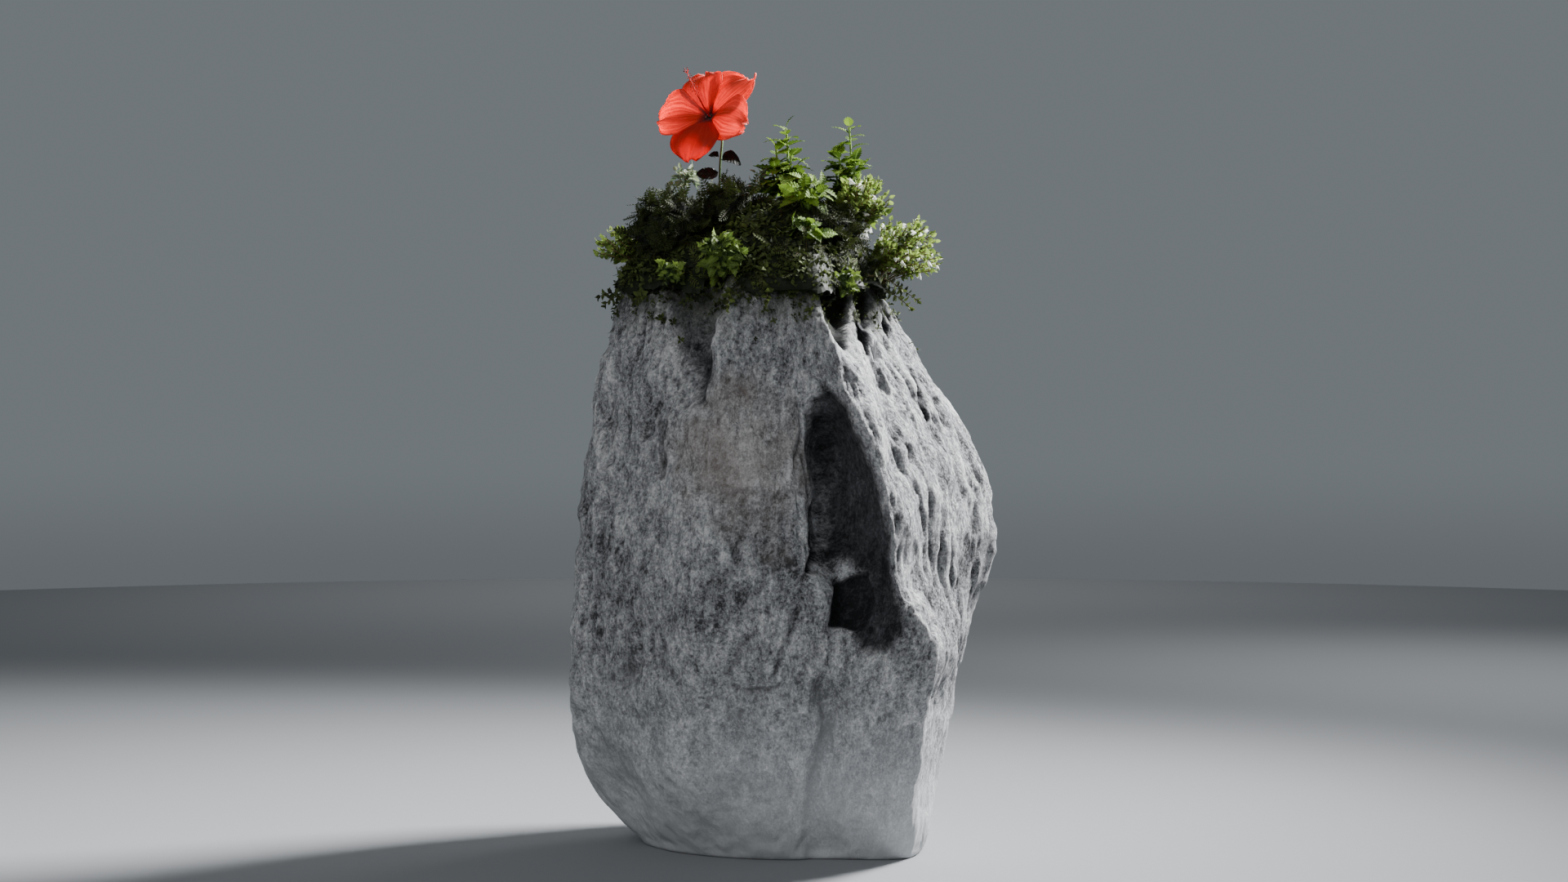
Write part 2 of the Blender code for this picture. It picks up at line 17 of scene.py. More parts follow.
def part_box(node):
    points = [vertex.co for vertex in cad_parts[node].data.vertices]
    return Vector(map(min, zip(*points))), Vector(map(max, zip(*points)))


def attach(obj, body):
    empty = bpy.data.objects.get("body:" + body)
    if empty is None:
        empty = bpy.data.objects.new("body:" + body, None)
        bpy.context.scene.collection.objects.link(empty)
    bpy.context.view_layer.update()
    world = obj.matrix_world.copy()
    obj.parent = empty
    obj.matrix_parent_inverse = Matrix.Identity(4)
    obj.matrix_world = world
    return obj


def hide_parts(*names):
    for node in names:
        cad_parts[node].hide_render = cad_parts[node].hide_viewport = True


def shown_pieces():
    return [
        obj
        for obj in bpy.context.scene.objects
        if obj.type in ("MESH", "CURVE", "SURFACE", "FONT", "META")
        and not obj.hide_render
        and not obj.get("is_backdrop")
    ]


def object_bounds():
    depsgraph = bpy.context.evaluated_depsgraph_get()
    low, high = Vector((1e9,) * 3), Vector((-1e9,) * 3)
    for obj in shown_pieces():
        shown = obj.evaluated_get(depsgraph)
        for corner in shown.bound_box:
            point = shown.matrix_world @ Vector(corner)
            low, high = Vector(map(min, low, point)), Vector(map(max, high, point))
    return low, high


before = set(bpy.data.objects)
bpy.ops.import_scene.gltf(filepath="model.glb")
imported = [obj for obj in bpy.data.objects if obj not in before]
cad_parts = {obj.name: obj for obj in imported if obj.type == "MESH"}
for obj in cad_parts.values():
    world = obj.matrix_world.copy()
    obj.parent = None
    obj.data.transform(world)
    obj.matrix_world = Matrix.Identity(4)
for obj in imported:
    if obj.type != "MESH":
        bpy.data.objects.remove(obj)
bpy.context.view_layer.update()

# %% [markdown]
# ## Camera, floor and light
# The view is level and from the front, at half the object's height, through a normal lens. A
# strong soft light stands to the right and a little behind, so that it rakes over the right side
# of the stone and leaves the front to a weak fill. That split of light and shade is what shows
# the relief. Two more lights brighten the floor for this view, one at the right behind the stone
# and one far behind it. The floor is pale and plain, and the grey surroundings are a little
# darker below the horizon.

# %% Camera
CAMERA_DISTANCE = 2.667
CAMERA_HEIGHT = 0.492
LENS = 50

camera = bpy.data.objects.new("camera", bpy.data.cameras.new("camera"))
camera.data.lens = LENS
camera.location = (0, -CAMERA_DISTANCE, CAMERA_HEIGHT)
camera.rotation_euler = (math.radians(90), 0, 0)
bpy.context.scene.collection.objects.link(camera)
bpy.context.scene.camera = camera
print("camera", tuple(camera.location), "lens", LENS)


# %% Colours, nodes and meshes
def linear(hex_colour):
    """An sRGB colour such as #8a8b8c as linear red, green, blue and alpha."""
    parts = [int(hex_colour[i : i + 2], 16) / 255 for i in (1, 3, 5)]
    return [p / 12.92 if p <= 0.04045 else ((p + 0.055) / 1.055) ** 2.4 for p in parts] + [1.0]


def add(tree, kind, inputs=None, **settings):
    """Adds a node. Each input, by name or number, takes a value or another node's output."""
    made = tree.nodes.new(kind)
    for name, value in settings.items():
        setattr(made, name, value)
    for name, value in (inputs or {}).items():
        if isinstance(value, bpy.types.NodeSocket):
            tree.links.new(value, made.inputs[name])
        else:
            made.inputs[name].default_value = value
    return made


def shader_of(name):
    """A new material of that name, with its node tree and its Principled shader."""
    material = bpy.data.materials.new(name)
    material.use_nodes = True
    return material, material.node_tree, material.node_tree.nodes["Principled BSDF"]


def mesh_of(name, bm):
    """A mesh of that name from an edited one, which it frees."""
    mesh = bpy.data.meshes.new(name)
    bm.to_mesh(mesh)
    bm.free()
    return mesh


def shown(name, mesh):
    """An object of that name for a mesh, in the scene."""
    obj = bpy.data.objects.new(name, mesh)
    bpy.context.scene.collection.objects.link(obj)
    return obj


# %% Lights and surroundings
SURROUNDINGS = "#70767a"
HORIZON = "#64696d"
# Height of a view's direction over which the surroundings turn from one to the other.
HORIZON_BAND = (-0.062, -0.005)


def soft_light(name, place, aim, size, power, spread):
    """A square soft box at a place, aimed at a point."""
    light = bpy.data.lights.new(name, "AREA")
    light.shape = "SQUARE"
    light.size = size
    light.energy = power
    light.spread = math.radians(spread)
    obj = shown(name, light)
    obj.location = place
    obj.rotation_euler = (Vector(aim) - Vector(place)).to_track_quat("-Z", "Y").to_euler()


soft_light("key_light", (2.25, 1.12, 2.75), (0.0, 0, 1.10), 0.85, 124, 66)
soft_light("fill_light", (-1.2, -2.6, 1.7), (0, 0, 0.50), 1.6, 8.4, 80)
soft_light("floor_light", (1.9, 2.4, 2.2), (1.3, 1.2, 0), 1.2, 14, 90)
soft_light("far_floor_light", (0, 4.6, 3.0), (0, 4.4, 0), 3.0, 24, 120)

world = bpy.data.worlds.new("surroundings")
bpy.context.scene.world = world
world.use_nodes = True
sky = world.node_tree
direction = add(sky, "ShaderNodeSeparateXYZ", {0: add(sky, "ShaderNodeTexCoord").outputs["Generated"]})
above = add(
    sky, "ShaderNodeMapRange",
    {"Value": direction.outputs["Z"], "From Min": HORIZON_BAND[0], "From Max": HORIZON_BAND[1]},
    interpolation_type="SMOOTHSTEP",
)
shade = add(
    sky, "ShaderNodeMix", {0: above.outputs[0], 6: linear(HORIZON), 7: linear(SURROUNDINGS)},
    data_type="RGBA",
)
sky.links.new(shade.outputs[2], sky.nodes["Background"].inputs["Color"])

# %% Floor
FLOOR_RADIUS = 5.2
FLOOR_PAINT = "#85878a"

bm = bmesh.new()
bmesh.ops.create_circle(bm, cap_ends=True, segments=96, radius=FLOOR_RADIUS)
floor = shown("floor", mesh_of("floor", bm))
# Matt wall paint, rolled on: plain, pale and without a gleam.
paint, _, shader = shader_of("matt_floor_paint")
shader.inputs["Base Color"].default_value = linear(FLOOR_PAINT)
shader.inputs["Roughness"].default_value = 0.95
floor.data.materials.append(paint)
floor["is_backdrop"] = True
print("floor radius", FLOOR_RADIUS)

# %% [markdown]
# ## The stone's surface
# The solid gives the stone's true outline, its gully and its ledges, in faces two centimetres
# wide. A voxel remesh turns that into an even skin of small faces. Then each point is moved
# along its normal: first the cracks, flutes and pockets that the front shows, then layers of
# noise for swells, lumps the size of a thumb, upright channels worn by rain, and pits. Rain runs
# down the flanks, so the noise is read in coordinates that widen and narrow with the stone.


# %% Mesh helpers
MERGE_DISTANCE = 0.00001


def evaluated(obj):
    """The mesh that an object's modifiers make of it."""
    graph = bpy.context.evaluated_depsgraph_get()
    return bpy.data.meshes.new_from_object(obj.evaluated_get(graph))


def baked(obj):
    """The object with its modifiers applied to its mesh."""
    mesh = evaluated(obj)
    obj.modifiers.clear()
    obj.data = mesh
    return obj


def copy_of(node, name):
    """A copy of a solid of the frame, with its loose triangles merged."""
    bm = bmesh.new()
    bm.from_mesh(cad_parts[node].data)
    bmesh.ops.remove_doubles(bm, verts=bm.verts, dist=MERGE_DISTANCE)
    return shown(name, mesh_of(name, bm))


def twin(obj):
    """A copy of an object with a mesh of its own, in the scene."""
    return shown(obj.name, obj.data.copy())


def even_skin(obj, voxel, smoothing):
    """Remeshes a closed body in even faces and smooths away the facets that it had."""
    remesh = obj.modifiers.new("remesh", "REMESH")
    remesh.mode = "VOXEL"
    remesh.voxel_size = voxel
    smooth = obj.modifiers.new("smooth", "SMOOTH")
    smooth.iterations = smoothing
    return baked(obj)


def points_of(mesh, field="co"):
    """The places or normals of a mesh's points as an array."""
    source = mesh.vertices if field == "co" else mesh.vertex_normals
    values = np.empty(len(mesh.vertices) * 3, np.float32)
    source.foreach_get("co" if field == "co" else "vector", values)
    return values.reshape(-1, 3).astype(float)


def move_points(mesh, places):
    """Puts a mesh's points in new places."""
    mesh.vertices.foreach_set("co", places.astype(np.float32).ravel())
    mesh.update()


def keep(mesh, name, values):
    """Keeps a number or a vector for each point, for the materials to read."""
    kind = "FLOAT" if values.ndim == 1 else "FLOAT_VECTOR"
    field = "value" if kind == "FLOAT" else "vector"
    attribute = mesh.attributes.new(name, kind, "POINT")
    attribute.data.foreach_set(field, values.astype(np.float32).ravel())


def rough(places, scale, seed, octaves):
    """Fractal noise between about -1 and 1 at each place. A larger scale gives finer noise."""
    scaled = places * np.array(scale) + seed
    return np.array([noise.fractal(Vector(p), 1.0, 2.0, octaves) for p in scaled])


def cells(places, scale, seed):
    """Distance to the nearest of scattered points, 0 at a point and about 1 between them."""
    scaled = places * np.array(scale) + seed
    return np.array([noise.voronoi(Vector(p))[0][0] for p in scaled])


def ease(values, start, end):
    """0 at start and 1 at end, eased at both."""
    t = np.clip((values - start) / (end - start), 0, 1)
    return t * t * (3 - 2 * t)


def finished(obj, material, slot, *nodes):
    """Gives a piece its finish, and puts it in the frame in place of its solids."""
    obj.data.materials.clear()
    obj.data.materials.append(material)
    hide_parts(*nodes)
    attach(obj, "root")
    obj.data.calc_loop_triangles()
    print(obj.name, len(obj.data.loop_triangles), "triangles, stands for", ", ".join(nodes))


# %% Even skin of the stone
STONE_VOXEL = 0.0041
STONE_SMOOTHING = 5

stone = even_skin(copy_of("stone", "weathered_stone"), STONE_VOXEL, STONE_SMOOTHING)
places = points_of(stone.data)
outward = points_of(stone.data, "normal")
print("stone points", len(places))

# %% Coordinates that follow the flanks
RING_HALF_HEIGHT = 0.02
USUAL_REACH = 0.25
LEVELS = np.linspace(0, places[:, 2].max(), 36)
rings = [places[np.abs(places[:, 2] - z) < RING_HALF_HEIGHT, 0] for z in LEVELS]
left_reach = np.interp(places[:, 2], LEVELS, [-ring.min() for ring in rings])
right_reach = np.interp(places[:, 2], LEVELS, [ring.max() for ring in rings])
flow = places.copy()
flow[:, 0] *= USUAL_REACH / np.where(places[:, 0] < 0, left_reach, right_reach)
keep(stone.data, "flow", flow)
print("widest reach left and right", left_reach.max().round(3), right_reach.max().round(3))


# %% Marks drawn on the front view
def near_line(points, x, z):
    """Distance of each place, seen from the front, from a broken line."""
    nearest = np.full(len(x), np.inf)
    for (ax, az), (bx, bz) in zip(points, points[1:]):
        run = np.array([bx - ax, bz - az])
        t = np.clip(((x - ax) * run[0] + (z - az) * run[1]) / (run @ run), 0, 1)
        nearest = np.minimum(nearest, np.hypot(x - ax - t * run[0], z - az - t * run[1]))
    return nearest


def within(outline, x, z, soft):
    """1 well inside an outline on the front view, 0 outside it, eased over a width."""
    ring = list(outline) + [outline[0]]
    inside = np.zeros(len(x), bool)
    for (ax, az), (bx, bz) in zip(ring, ring[1:]):
        if az != bz:
            inside ^= ((az > z) != (bz > z)) & (x < ax + (z - az) * (bx - ax) / (bz - az))
    return np.where(inside, ease(near_line(ring, x, z), 0, soft), 0.0)


# Each crack: its line across and up the front view, then its width and depth.
CRACKS = (
    (((0.040, 0.43), (0.038, 0.39), (0.042, 0.36), (0.034, 0.335)), 0.006, 0.009),
    (((-0.062, 0.192), (-0.045, 0.186), (-0.020, 0.188), (-0.006, 0.194)), 0.005, 0.004),
    (((-0.082, 0.420), (-0.058, 0.430), (-0.030, 0.431), (-0.008, 0.424), (0.020, 0.430)), 0.008, 0.002),
    (((0.040, 0.195), (0.055, 0.150), (0.042, 0.105), (0.028, 0.030)), 0.014, 0.004),
)
# Each hollow: its outline, its depth, the width of its wall, and its share of painted shade and stain.
HOLLOWS = (
    (((0.043, 0.573), (0.070, 0.562), (0.088, 0.537), (0.106, 0.487), (0.130, 0.432), (0.142, 0.372),
      (0.148, 0.305), (0.160, 0.262), (0.140, 0.225), (0.085, 0.225), (0.078, 0.262), (0.090, 0.322),
      (0.076, 0.334), (0.040, 0.342), (0.036, 0.432), (0.024, 0.476), (0.024, 0.524)), 0.011, 0.032, 0.88),
    (((-0.160, 0.690), (-0.070, 0.690), (-0.080, 0.622), (-0.092, 0.582), (-0.098, 0.536), (-0.116, 0.536),
      (-0.130, 0.582), (-0.148, 0.622)), 0.016, 0.034, 0.60),
    (((-0.118, 0.610), (-0.088, 0.604), (-0.097, 0.536), (-0.114, 0.538)), 0.009, 0.014, 0.85),
    (((-0.160, 0.524), (-0.144, 0.517), (-0.147, 0.442), (-0.158, 0.444)), 0.005, 0.006, 0.45),
    (((-0.082, 0.420), (-0.058, 0.430), (-0.030, 0.431), (-0.008, 0.424), (0.024, 0.431), (0.025, 0.342),
      (-0.020, 0.326), (-0.060, 0.340), (-0.080, 0.380)), 0.004, 0.005, 0.20),
    (((0.045, 0.692), (0.076, 0.690), (0.081, 0.656), (0.083, 0.604), (0.073, 0.606), (0.060, 0.622),
      (0.050, 0.646)), 0.016, 0.008, 1.0),
    (((0.084, 0.680), (0.105, 0.680), (0.112, 0.633), (0.111, 0.598), (0.104, 0.600), (0.092, 0.616),
      (0.087, 0.638)), 0.014, 0.007, 1.0),
    (((0.113, 0.620), (0.122, 0.618), (0.129, 0.592), (0.117, 0.594)), 0.006, 0.005, 0.8),
    (((0.122, 0.668), (0.136, 0.642), (0.140, 0.612), (0.143, 0.586), (0.133, 0.614), (0.123, 0.636)),
     0.011, 0.006, 1.0),
    (((0.160, 0.588), (0.171, 0.576), (0.176, 0.561), (0.182, 0.537), (0.185, 0.514), (0.177, 0.514),
      (0.171, 0.532), (0.164, 0.555)), 0.010, 0.006, 1.0),
    (((0.184, 0.556), (0.193, 0.546), (0.203, 0.520), (0.212, 0.500), (0.200, 0.508), (0.190, 0.528)),
     0.004, 0.005, 0.4),
    (((0.146, 0.496), (0.159, 0.486), (0.163, 0.462), (0.155, 0.466)), 0.005, 0.005, 0.5),
    (((0.060, 0.322), (0.102, 0.336), (0.108, 0.290), (0.100, 0.258), (0.056, 0.262)), 0.012, 0.010, 0.9),
    (((-0.205, 0.222), (-0.185, 0.224), (-0.172, 0.205), (-0.180, 0.184), (-0.204, 0.186)),
     0.006, 0.014, 0.3),
    (((-0.055, 0.262), (-0.035, 0.256), (-0.062, 0.204), (-0.078, 0.196)), 0.004, 0.010, 0.35),
    (((0.014, 0.298), (0.026, 0.290), (-0.004, 0.204), (-0.020, 0.196), (-0.014, 0.226)), 0.005, 0.010, 0.40),
)
# Each block that stands proud, the nose below the gully and the chip over its crack: its
# outline, its height, and the width of its wall.
BLOCKS = (
    (((0.030, 0.334), (0.078, 0.334), (0.062, 0.318), (0.058, 0.272), (0.036, 0.276)), 0.006, 0.007),
    (((-0.075, 0.232), (-0.030, 0.242), (-0.006, 0.226), (-0.008, 0.196), (-0.055, 0.194)), 0.004, 0.012),
)

WANDER = 0.0030
FULL_CRACK_SHADE_DEPTH = 0.006

spread = CAMERA_DISTANCE / (CAMERA_DISTANCE + places[:, 1])
wander = rough(places, (55, 55, 40), 3.7, 4) * WANDER
seen_x = places[:, 0] * spread + wander
seen_z = CAMERA_HEIGHT + (places[:, 2] - CAMERA_HEIGHT) * spread + wander
facing = ease(-outward[:, 1], -0.15, 0.10)
marked = np.zeros(len(places))
stain = np.zeros(len(places))
# Painted shade: each crack is darkened along its line, as the shadow in it.
for line, width, depth in CRACKS:
    crack = np.clip(1 - near_line(line, seen_x, seen_z) / width, 0, 1)
    marked = np.maximum(marked, depth * crack)
    stain = np.maximum(stain, crack * min(1.0, depth / FULL_CRACK_SHADE_DEPTH))
# Painted shade and stain: each hollow is darkened by its share, the flutes and pockets as the shadow in them,
# and the gully as shadow with a black stain.
for outline, depth, soft, dark in HOLLOWS:
    marked += depth * within(outline, seen_x, seen_z, soft)
    stain = np.maximum(stain, dark * within(outline, seen_x, seen_z, 0.6 * soft))
for outline, height, soft in BLOCKS:
    marked -= height * within(outline, seen_x, seen_z, soft)
marked *= facing
stain *= facing
print("points moved by marks", int((np.abs(marked) > 0.001).sum()))

# %% Weathered relief
SWELL, LUMP, KNOB = 0.0080, 0.0062, 0.0026
CHANNEL_DEPTH, PIT_DEPTH, WORN_AWAY = 0.0044, 0.0040, 0.0012

foot = ease(places[:, 2], 0.0, 0.012)
calm = ease(places[:, 2], 0.02, 0.26)
crown = ease(places[:, 2], 0.42, 0.60)
flank = ease(outward[:, 0], 0.1, 0.6)
swells = rough(flow, (12, 12, 7), 1.3, 2)
lumps = rough(flow, (38, 38, 22), 6.1, 3)
knobs = rough(flow, (88, 88, 52), 8.8, 2)
veins = rough(flow, (40, 40, 7), 2.9, 3)
channels = np.clip(1 - np.abs(veins) / 0.30, 0, 1)
patchy = ease(rough(flow, (10, 10, 7), 4.4, 2), -0.3, 0.3)
pits = ease(0.40 - cells(flow, (62, 62, 34), 5.5), 0.0, 0.34) * patchy
carved = (
    (SWELL * swells + LUMP * lumps) * (1 - 0.4 * flank) + KNOB * knobs * (1 - 0.5 * flank)
    - CHANNEL_DEPTH * channels * np.clip(0.22 + 0.5 * crown + 0.7 * flank, 0, 1)
    - PIT_DEPTH * pits * (1 - 0.8 * flank)
)
carved = carved * (0.40 + 0.60 * calm) * (1 - 0.5 * np.clip(stain, 0, 1)) - marked - WORN_AWAY
places += outward * (carved * foot)[:, None]
places[:, 2] = np.maximum(places[:, 2], 0)
# The relief may not reach past the solid, so the stone is drawn in to its box where it does.
low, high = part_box("stone")
for axis in (0, 1):
    reach = max(places[:, axis].max() / high[axis], places[:, axis].min() / low[axis])
    places[:, axis] /= max(1.0, reach)
move_points(stone.data, places)
stone.data.shade_smooth()
print("carved from", round(float(carved.min()) * 1000, 1), "to", round(float(carved.max()) * 1000, 1), "mm")


# %% Painted shade in hollows, lighter ridges
def below_smooth(obj, passes):
    """How deep each point lies under the same surface once it is smoothed."""
    smooth = obj.modifiers.new("smooth", "SMOOTH")
    smooth.iterations = passes
    mesh = evaluated(obj)
    obj.modifiers.clear()
    depth = ((points_of(mesh) - points_of(obj.data)) * points_of(obj.data, "normal")).sum(1)
    bpy.data.meshes.remove(mesh)
    return depth


FINE_DEPTH, WIDE_DEPTH = 0.0016, 0.008

fine = below_smooth(stone, 8)
wide = below_smooth(stone, 120)
# Painted shade: how deep a point lies below the smoothed surface darkens hollows in the colour, and points
# above it make ridges lighter.
hollow_shading = np.clip(fine / FINE_DEPTH, -1, 1) * 0.6 + np.clip(wide / WIDE_DEPTH, -1, 1) * 0.4
keep(stone.data, "hollow", hollow_shading)
keep(stone.data, "stain", stain)
print("deepest hollow", round(float(wide.max()) * 1000, 1), "mm")

# %% [markdown]
# ## Weathered limestone
# The stone is a grey limestone that has stood in the open: hard, grainy and quite matt. Its
# colour runs from near white on worn grains to charcoal in the pores, in marks of a few
# millimetres. Painted shade darkens its hollows, flutes and cracks, with a black stain in the
# gully too, and the ridges are lighter. A patch on the front is warmer, the crown is green with
# algae, painted shade darkens the lower half a little, and dust makes the foot paler and
# plainer. The pits and channels are in the mesh. The grain is finer than the mesh, so a
# bump adds it, and the same patterns that colour the stone raise and lower it.

# %% Limestone material
LIMESTONE_DARK = "#404144"
LIMESTONE_MID = "#a3a4a7"
LIMESTONE_PALE = "#efefef"
LIMESTONE_WARM = "#b8aca3"
SHADE_AND_STAIN_TINT = "#66676b"
CROWN_ALGAE = "#3d4229"
GROUND_DUST = "#b4b6b8"
WARM_PATCH = (-0.060, -0.18, 0.470)
ALGAE_EDGE = (0.620, 0.690)
LOWER_SHADE_EDGE = (0.50, 0.20)
DUST_TOP = 0.26
BUMP_HEIGHT = 0.0090

limestone, tree, shader = shader_of("weathered_limestone")
along_flank = add(tree, "ShaderNodeAttribute", attribute_name="flow").outputs["Vector"]
in_place = add(tree, "ShaderNodeTexCoord").outputs["Object"]
hollow = add(tree, "ShaderNodeAttribute", attribute_name="hollow").outputs["Fac"]
shade_and_stain_mask = add(tree, "ShaderNodeAttribute", attribute_name="stain").outputs["Fac"]


def stretched(scale):
    """The coordinates along the flanks, scaled across and down the stone."""
    return add(tree, "ShaderNodeMapping", {"Vector": along_flank, "Scale": scale}).outputs["Vector"]


def sum_of(tree, first, second, share):
    """first plus share times second."""
    parts = {0: second, 1: share, 2: first}
    return add(tree, "ShaderNodeMath", parts, operation="MULTIPLY_ADD").outputs[0]


def span(tree, value, start, end, low=0.0, high=1.0):
    """A value moved from the span start to end onto the span low to high, and kept there."""
    ends = {"From Min": start, "From Max": end, "To Min": low, "To Max": high}
    return add(tree, "ShaderNodeMapRange", {"Value": value, **ends}).outputs[0]


def blend(tree, share, first, second):
    """One colour turning into another with a share. Each is a hex colour or an output."""
    ends = [linear(c) if isinstance(c, str) else c for c in (first, second)]
    parts = {0: share, 6: ends[0], 7: ends[1]}
    return add(tree, "ShaderNodeMix", parts, data_type="RGBA").outputs[2]


def grain(scale, detail, roughness, distortion=0.0):
    """Noise on the stone at a stretched scale, about 0 on average."""
    made = add(tree, "ShaderNodeTexNoise",
               {"Vector": stretched(scale), "Scale": 1.0, "Detail": detail, "Roughness": roughness,
                "Distortion": distortion})
    parts = {0: made.outputs["Fac"], 1: 0.5}
    return add(tree, "ShaderNodeMath", parts, operation="SUBTRACT").outputs[0]


# A scale is patterns to the metre: mottling of 50 mm, marks of 11 mm, grit of 4 mm, streaks of
# 8 by 38 mm, specks of 2 mm, which is as fine as a render shows, and pores of 12 mm.
mottle = grain((20, 20, 13), 3.0, 0.6)
marks = grain((92, 92, 68), 9.0, 0.82)
grit = grain((270, 270, 210), 4.0, 0.75)
streaks = grain((120, 120, 26), 4.0, 0.6)
speck = grain((520, 520, 400), 2.0, 0.7)
pores = span(tree, grain((85, 85, 50), 5.0, 0.65, 0.6), -0.08, -0.20)
height = add(tree, "ShaderNodeSeparateXYZ", {0: in_place}).outputs["Z"]
# Painted shade: the stone turns a little darker towards its foot, where less light falls.
lower_shade = span(tree, height, *LOWER_SHADE_EDGE)
# Painted shade: the rock is darker in hollows and lighter on ridges.
tone = sum_of(tree, 0.50, hollow, -0.28)
for layer, share in (
    (mottle, 1.3), (marks, 1.75), (grit, 1.8), (streaks, 0.45), (speck, 0.9), (pores, -0.34), (lower_shade, -0.08),
):
    tone = sum_of(tree, tone, layer, share)
rock = blend(tree, span(tree, tone, 0.05, 0.52), LIMESTONE_DARK, LIMESTONE_MID)
rock = blend(tree, span(tree, tone, 0.52, 1.05), rock, LIMESTONE_PALE)
away = add(tree, "ShaderNodeVectorMath", {0: in_place, 1: WARM_PATCH}, operation="DISTANCE").outputs["Value"]
warm = span(tree, sum_of(tree, away, mottle, 0.25), 0.11, 0.03, 0.0, 0.45)
rock = blend(tree, warm, rock, LIMESTONE_WARM)
# Painted shade and stain: the marked hollows and cracks are darkened by a multiplied tint.
shade_and_stain_share = span(tree, sum_of(tree, sum_of(tree, shade_and_stain_mask, marks, -0.5), mottle, -0.35), 0.08, 0.85)
rock = add(tree, "ShaderNodeMix", {0: shade_and_stain_share, 6: rock, 7: linear(SHADE_AND_STAIN_TINT)}, data_type="RGBA",
           blend_type="MULTIPLY").outputs[2]
algae = span(tree, sum_of(tree, sum_of(tree, height, marks, 0.22), mottle, 0.12), *ALGAE_EDGE, 0.0, 0.95)
rock = blend(tree, algae, rock, CROWN_ALGAE)
dusty = span(tree, sum_of(tree, height, mottle, 0.14), DUST_TOP, 0.0, 0.0, 0.90)
tree.links.new(blend(tree, dusty, rock, GROUND_DUST), shader.inputs["Base Color"])
shader.inputs["Roughness"].default_value = 0.88
shader.inputs["IOR"].default_value = 1.5
shader.inputs["Specular IOR Level"].default_value = 0.35
relief = sum_of(tree, sum_of(tree, sum_of(tree, marks, streaks, 0.3), grit, 0.5), pores, -0.45)
bump = add(tree, "ShaderNodeBump",
           {"Height": relief, "Distance": BUMP_HEIGHT, "Strength": span(tree, dusty, 0.0, 0.9, 1.0, 0.20)})
tree.links.new(bump.outputs["Normal"], shader.inputs["Normal"])
finished(stone, limestone, "grey_stone", "stone")

# %% [markdown]
# ## Leaves
# Every leaf here starts as one small blade of a few dozen faces: a midrib with a row of points
# on each side, folded along the rib and bent down towards its tip. Toothed leaves pull every
# second edge point in. Each point keeps its place along and across the blade, so that the
# material can draw veins, and a number that says whether it is leaf, stem or flower.

# %% One leaf blade
LEAF, STEM, FLOWER = 0.0, 1.0, 2.0


def plant_mesh(name, verts, faces, blade):
    """A mesh whose points keep (along, across, leaf or stem or flower)."""
    mesh = bpy.data.meshes.new(name)
    mesh.from_pydata([tuple(v) for v in verts], [], faces)
    keep(mesh, "blade", np.array(blade, float))
    return mesh


def blade_points(length, half_width, steps, tooth, fold, droop, stalk=0.12, lift=0.0, turn=0.0,
                 shift=(0, 0, 0)):
    """The points and faces of one blade, along +X until it is lifted at its tip and turned."""
    verts, blade = [(length * stalk, 0, 0)], [(0, 0, LEAF)]
    for i in range(1, steps):
        along = i / steps
        reach = half_width * math.sin(math.pi * along**0.72) ** 0.85 * (1 - tooth * (i % 2))
        x = length * (stalk + (1 - stalk) * along)
        back = 0.06 * length * (i % 2) * (tooth > 0)
        drop = -droop * length * along**2
        for across in (-1, 0, 1):
            verts.append((x - back * abs(across), across * reach, drop + fold * reach * abs(across)))
            blade.append((along, across, LEAF))
    tip = len(verts)
    verts.append((length, 0, -droop * length))
    blade.append((1, 0, LEAF))
    faces = [(0, 1, 2), (0, 2, 3), (tip - 3, tip, tip - 2), (tip - 2, tip, tip - 1)]
    for a in range(1, tip - 5, 3):
        faces += [(a, a + 3, a + 4, a + 1), (a + 1, a + 4, a + 5, a + 2)]
    if stalk:
        faces.append((tip + 1, 0, tip + 2))
        verts += [(0, -0.0004, 0), (0, 0.0004, 0)]
        blade += [(0, 0, STEM), (0, 0, STEM)]
    c, s = math.cos(lift), math.sin(lift)
    tilted = [(x * c - z * s, y, x * s + z * c) for x, y, z in verts]
    c, s = math.cos(turn), math.sin(turn)
    placed_at = [(c * x - s * y + shift[0], s * x + c * y + shift[1], z + shift[2]) for x, y, z in tilted]
    return placed_at, faces, blade


def joined(parts):
    """Several sets of points, faces and blade values as one."""
    verts, faces, blade = [], [], []
    for more, sides, values in parts:
        faces += [tuple(i + len(verts) for i in face) for face in sides]
        verts += more
        blade += values
    return verts, faces, blade


def shape(name, parts):
    """A shape for the trees below to repeat, kept out of the picture."""
    verts, faces, blade = joined(parts)
    print(name, len(faces), "faces")
    return bpy.data.objects.new(name, plant_mesh(name, verts, faces, blade))


# %% Leaf shapes
def feather(length, leaflets, leaflet_length, half_width, droop):
    """A fern spray: a thin rib with a leaflet on each side that shortens towards its tip."""
    rib = [(length * t, side * 0.0004, -droop * length * t**2) for t in (0, 0.5, 1) for side in (-1, 1)]
    parts = [(rib, [(0, 2, 3, 1), (2, 4, 5, 3)], [(0.2, 0, STEM)] * 6)]
    for i in range(leaflets):
        t = (i + 0.7) / leaflets
        size = math.sin(math.pi * (0.16 + 0.74 * t)) ** 0.7
        start = (length * t, 0, -droop * length * t**2)
        for side in (-1, 1):
            parts.append(blade_points(leaflet_length * size, half_width * size, 2, 0.0, 0.25, 0.25, 0.0,
                                      turn=side * 1.05, shift=start))
    parts.append(blade_points(leaflet_length * 0.7, half_width * 0.7, 2, 0.0, 0.25, 0.25, 0.0,
                              shift=(length * 0.96, 0, -droop * length * 0.92)))
    return parts


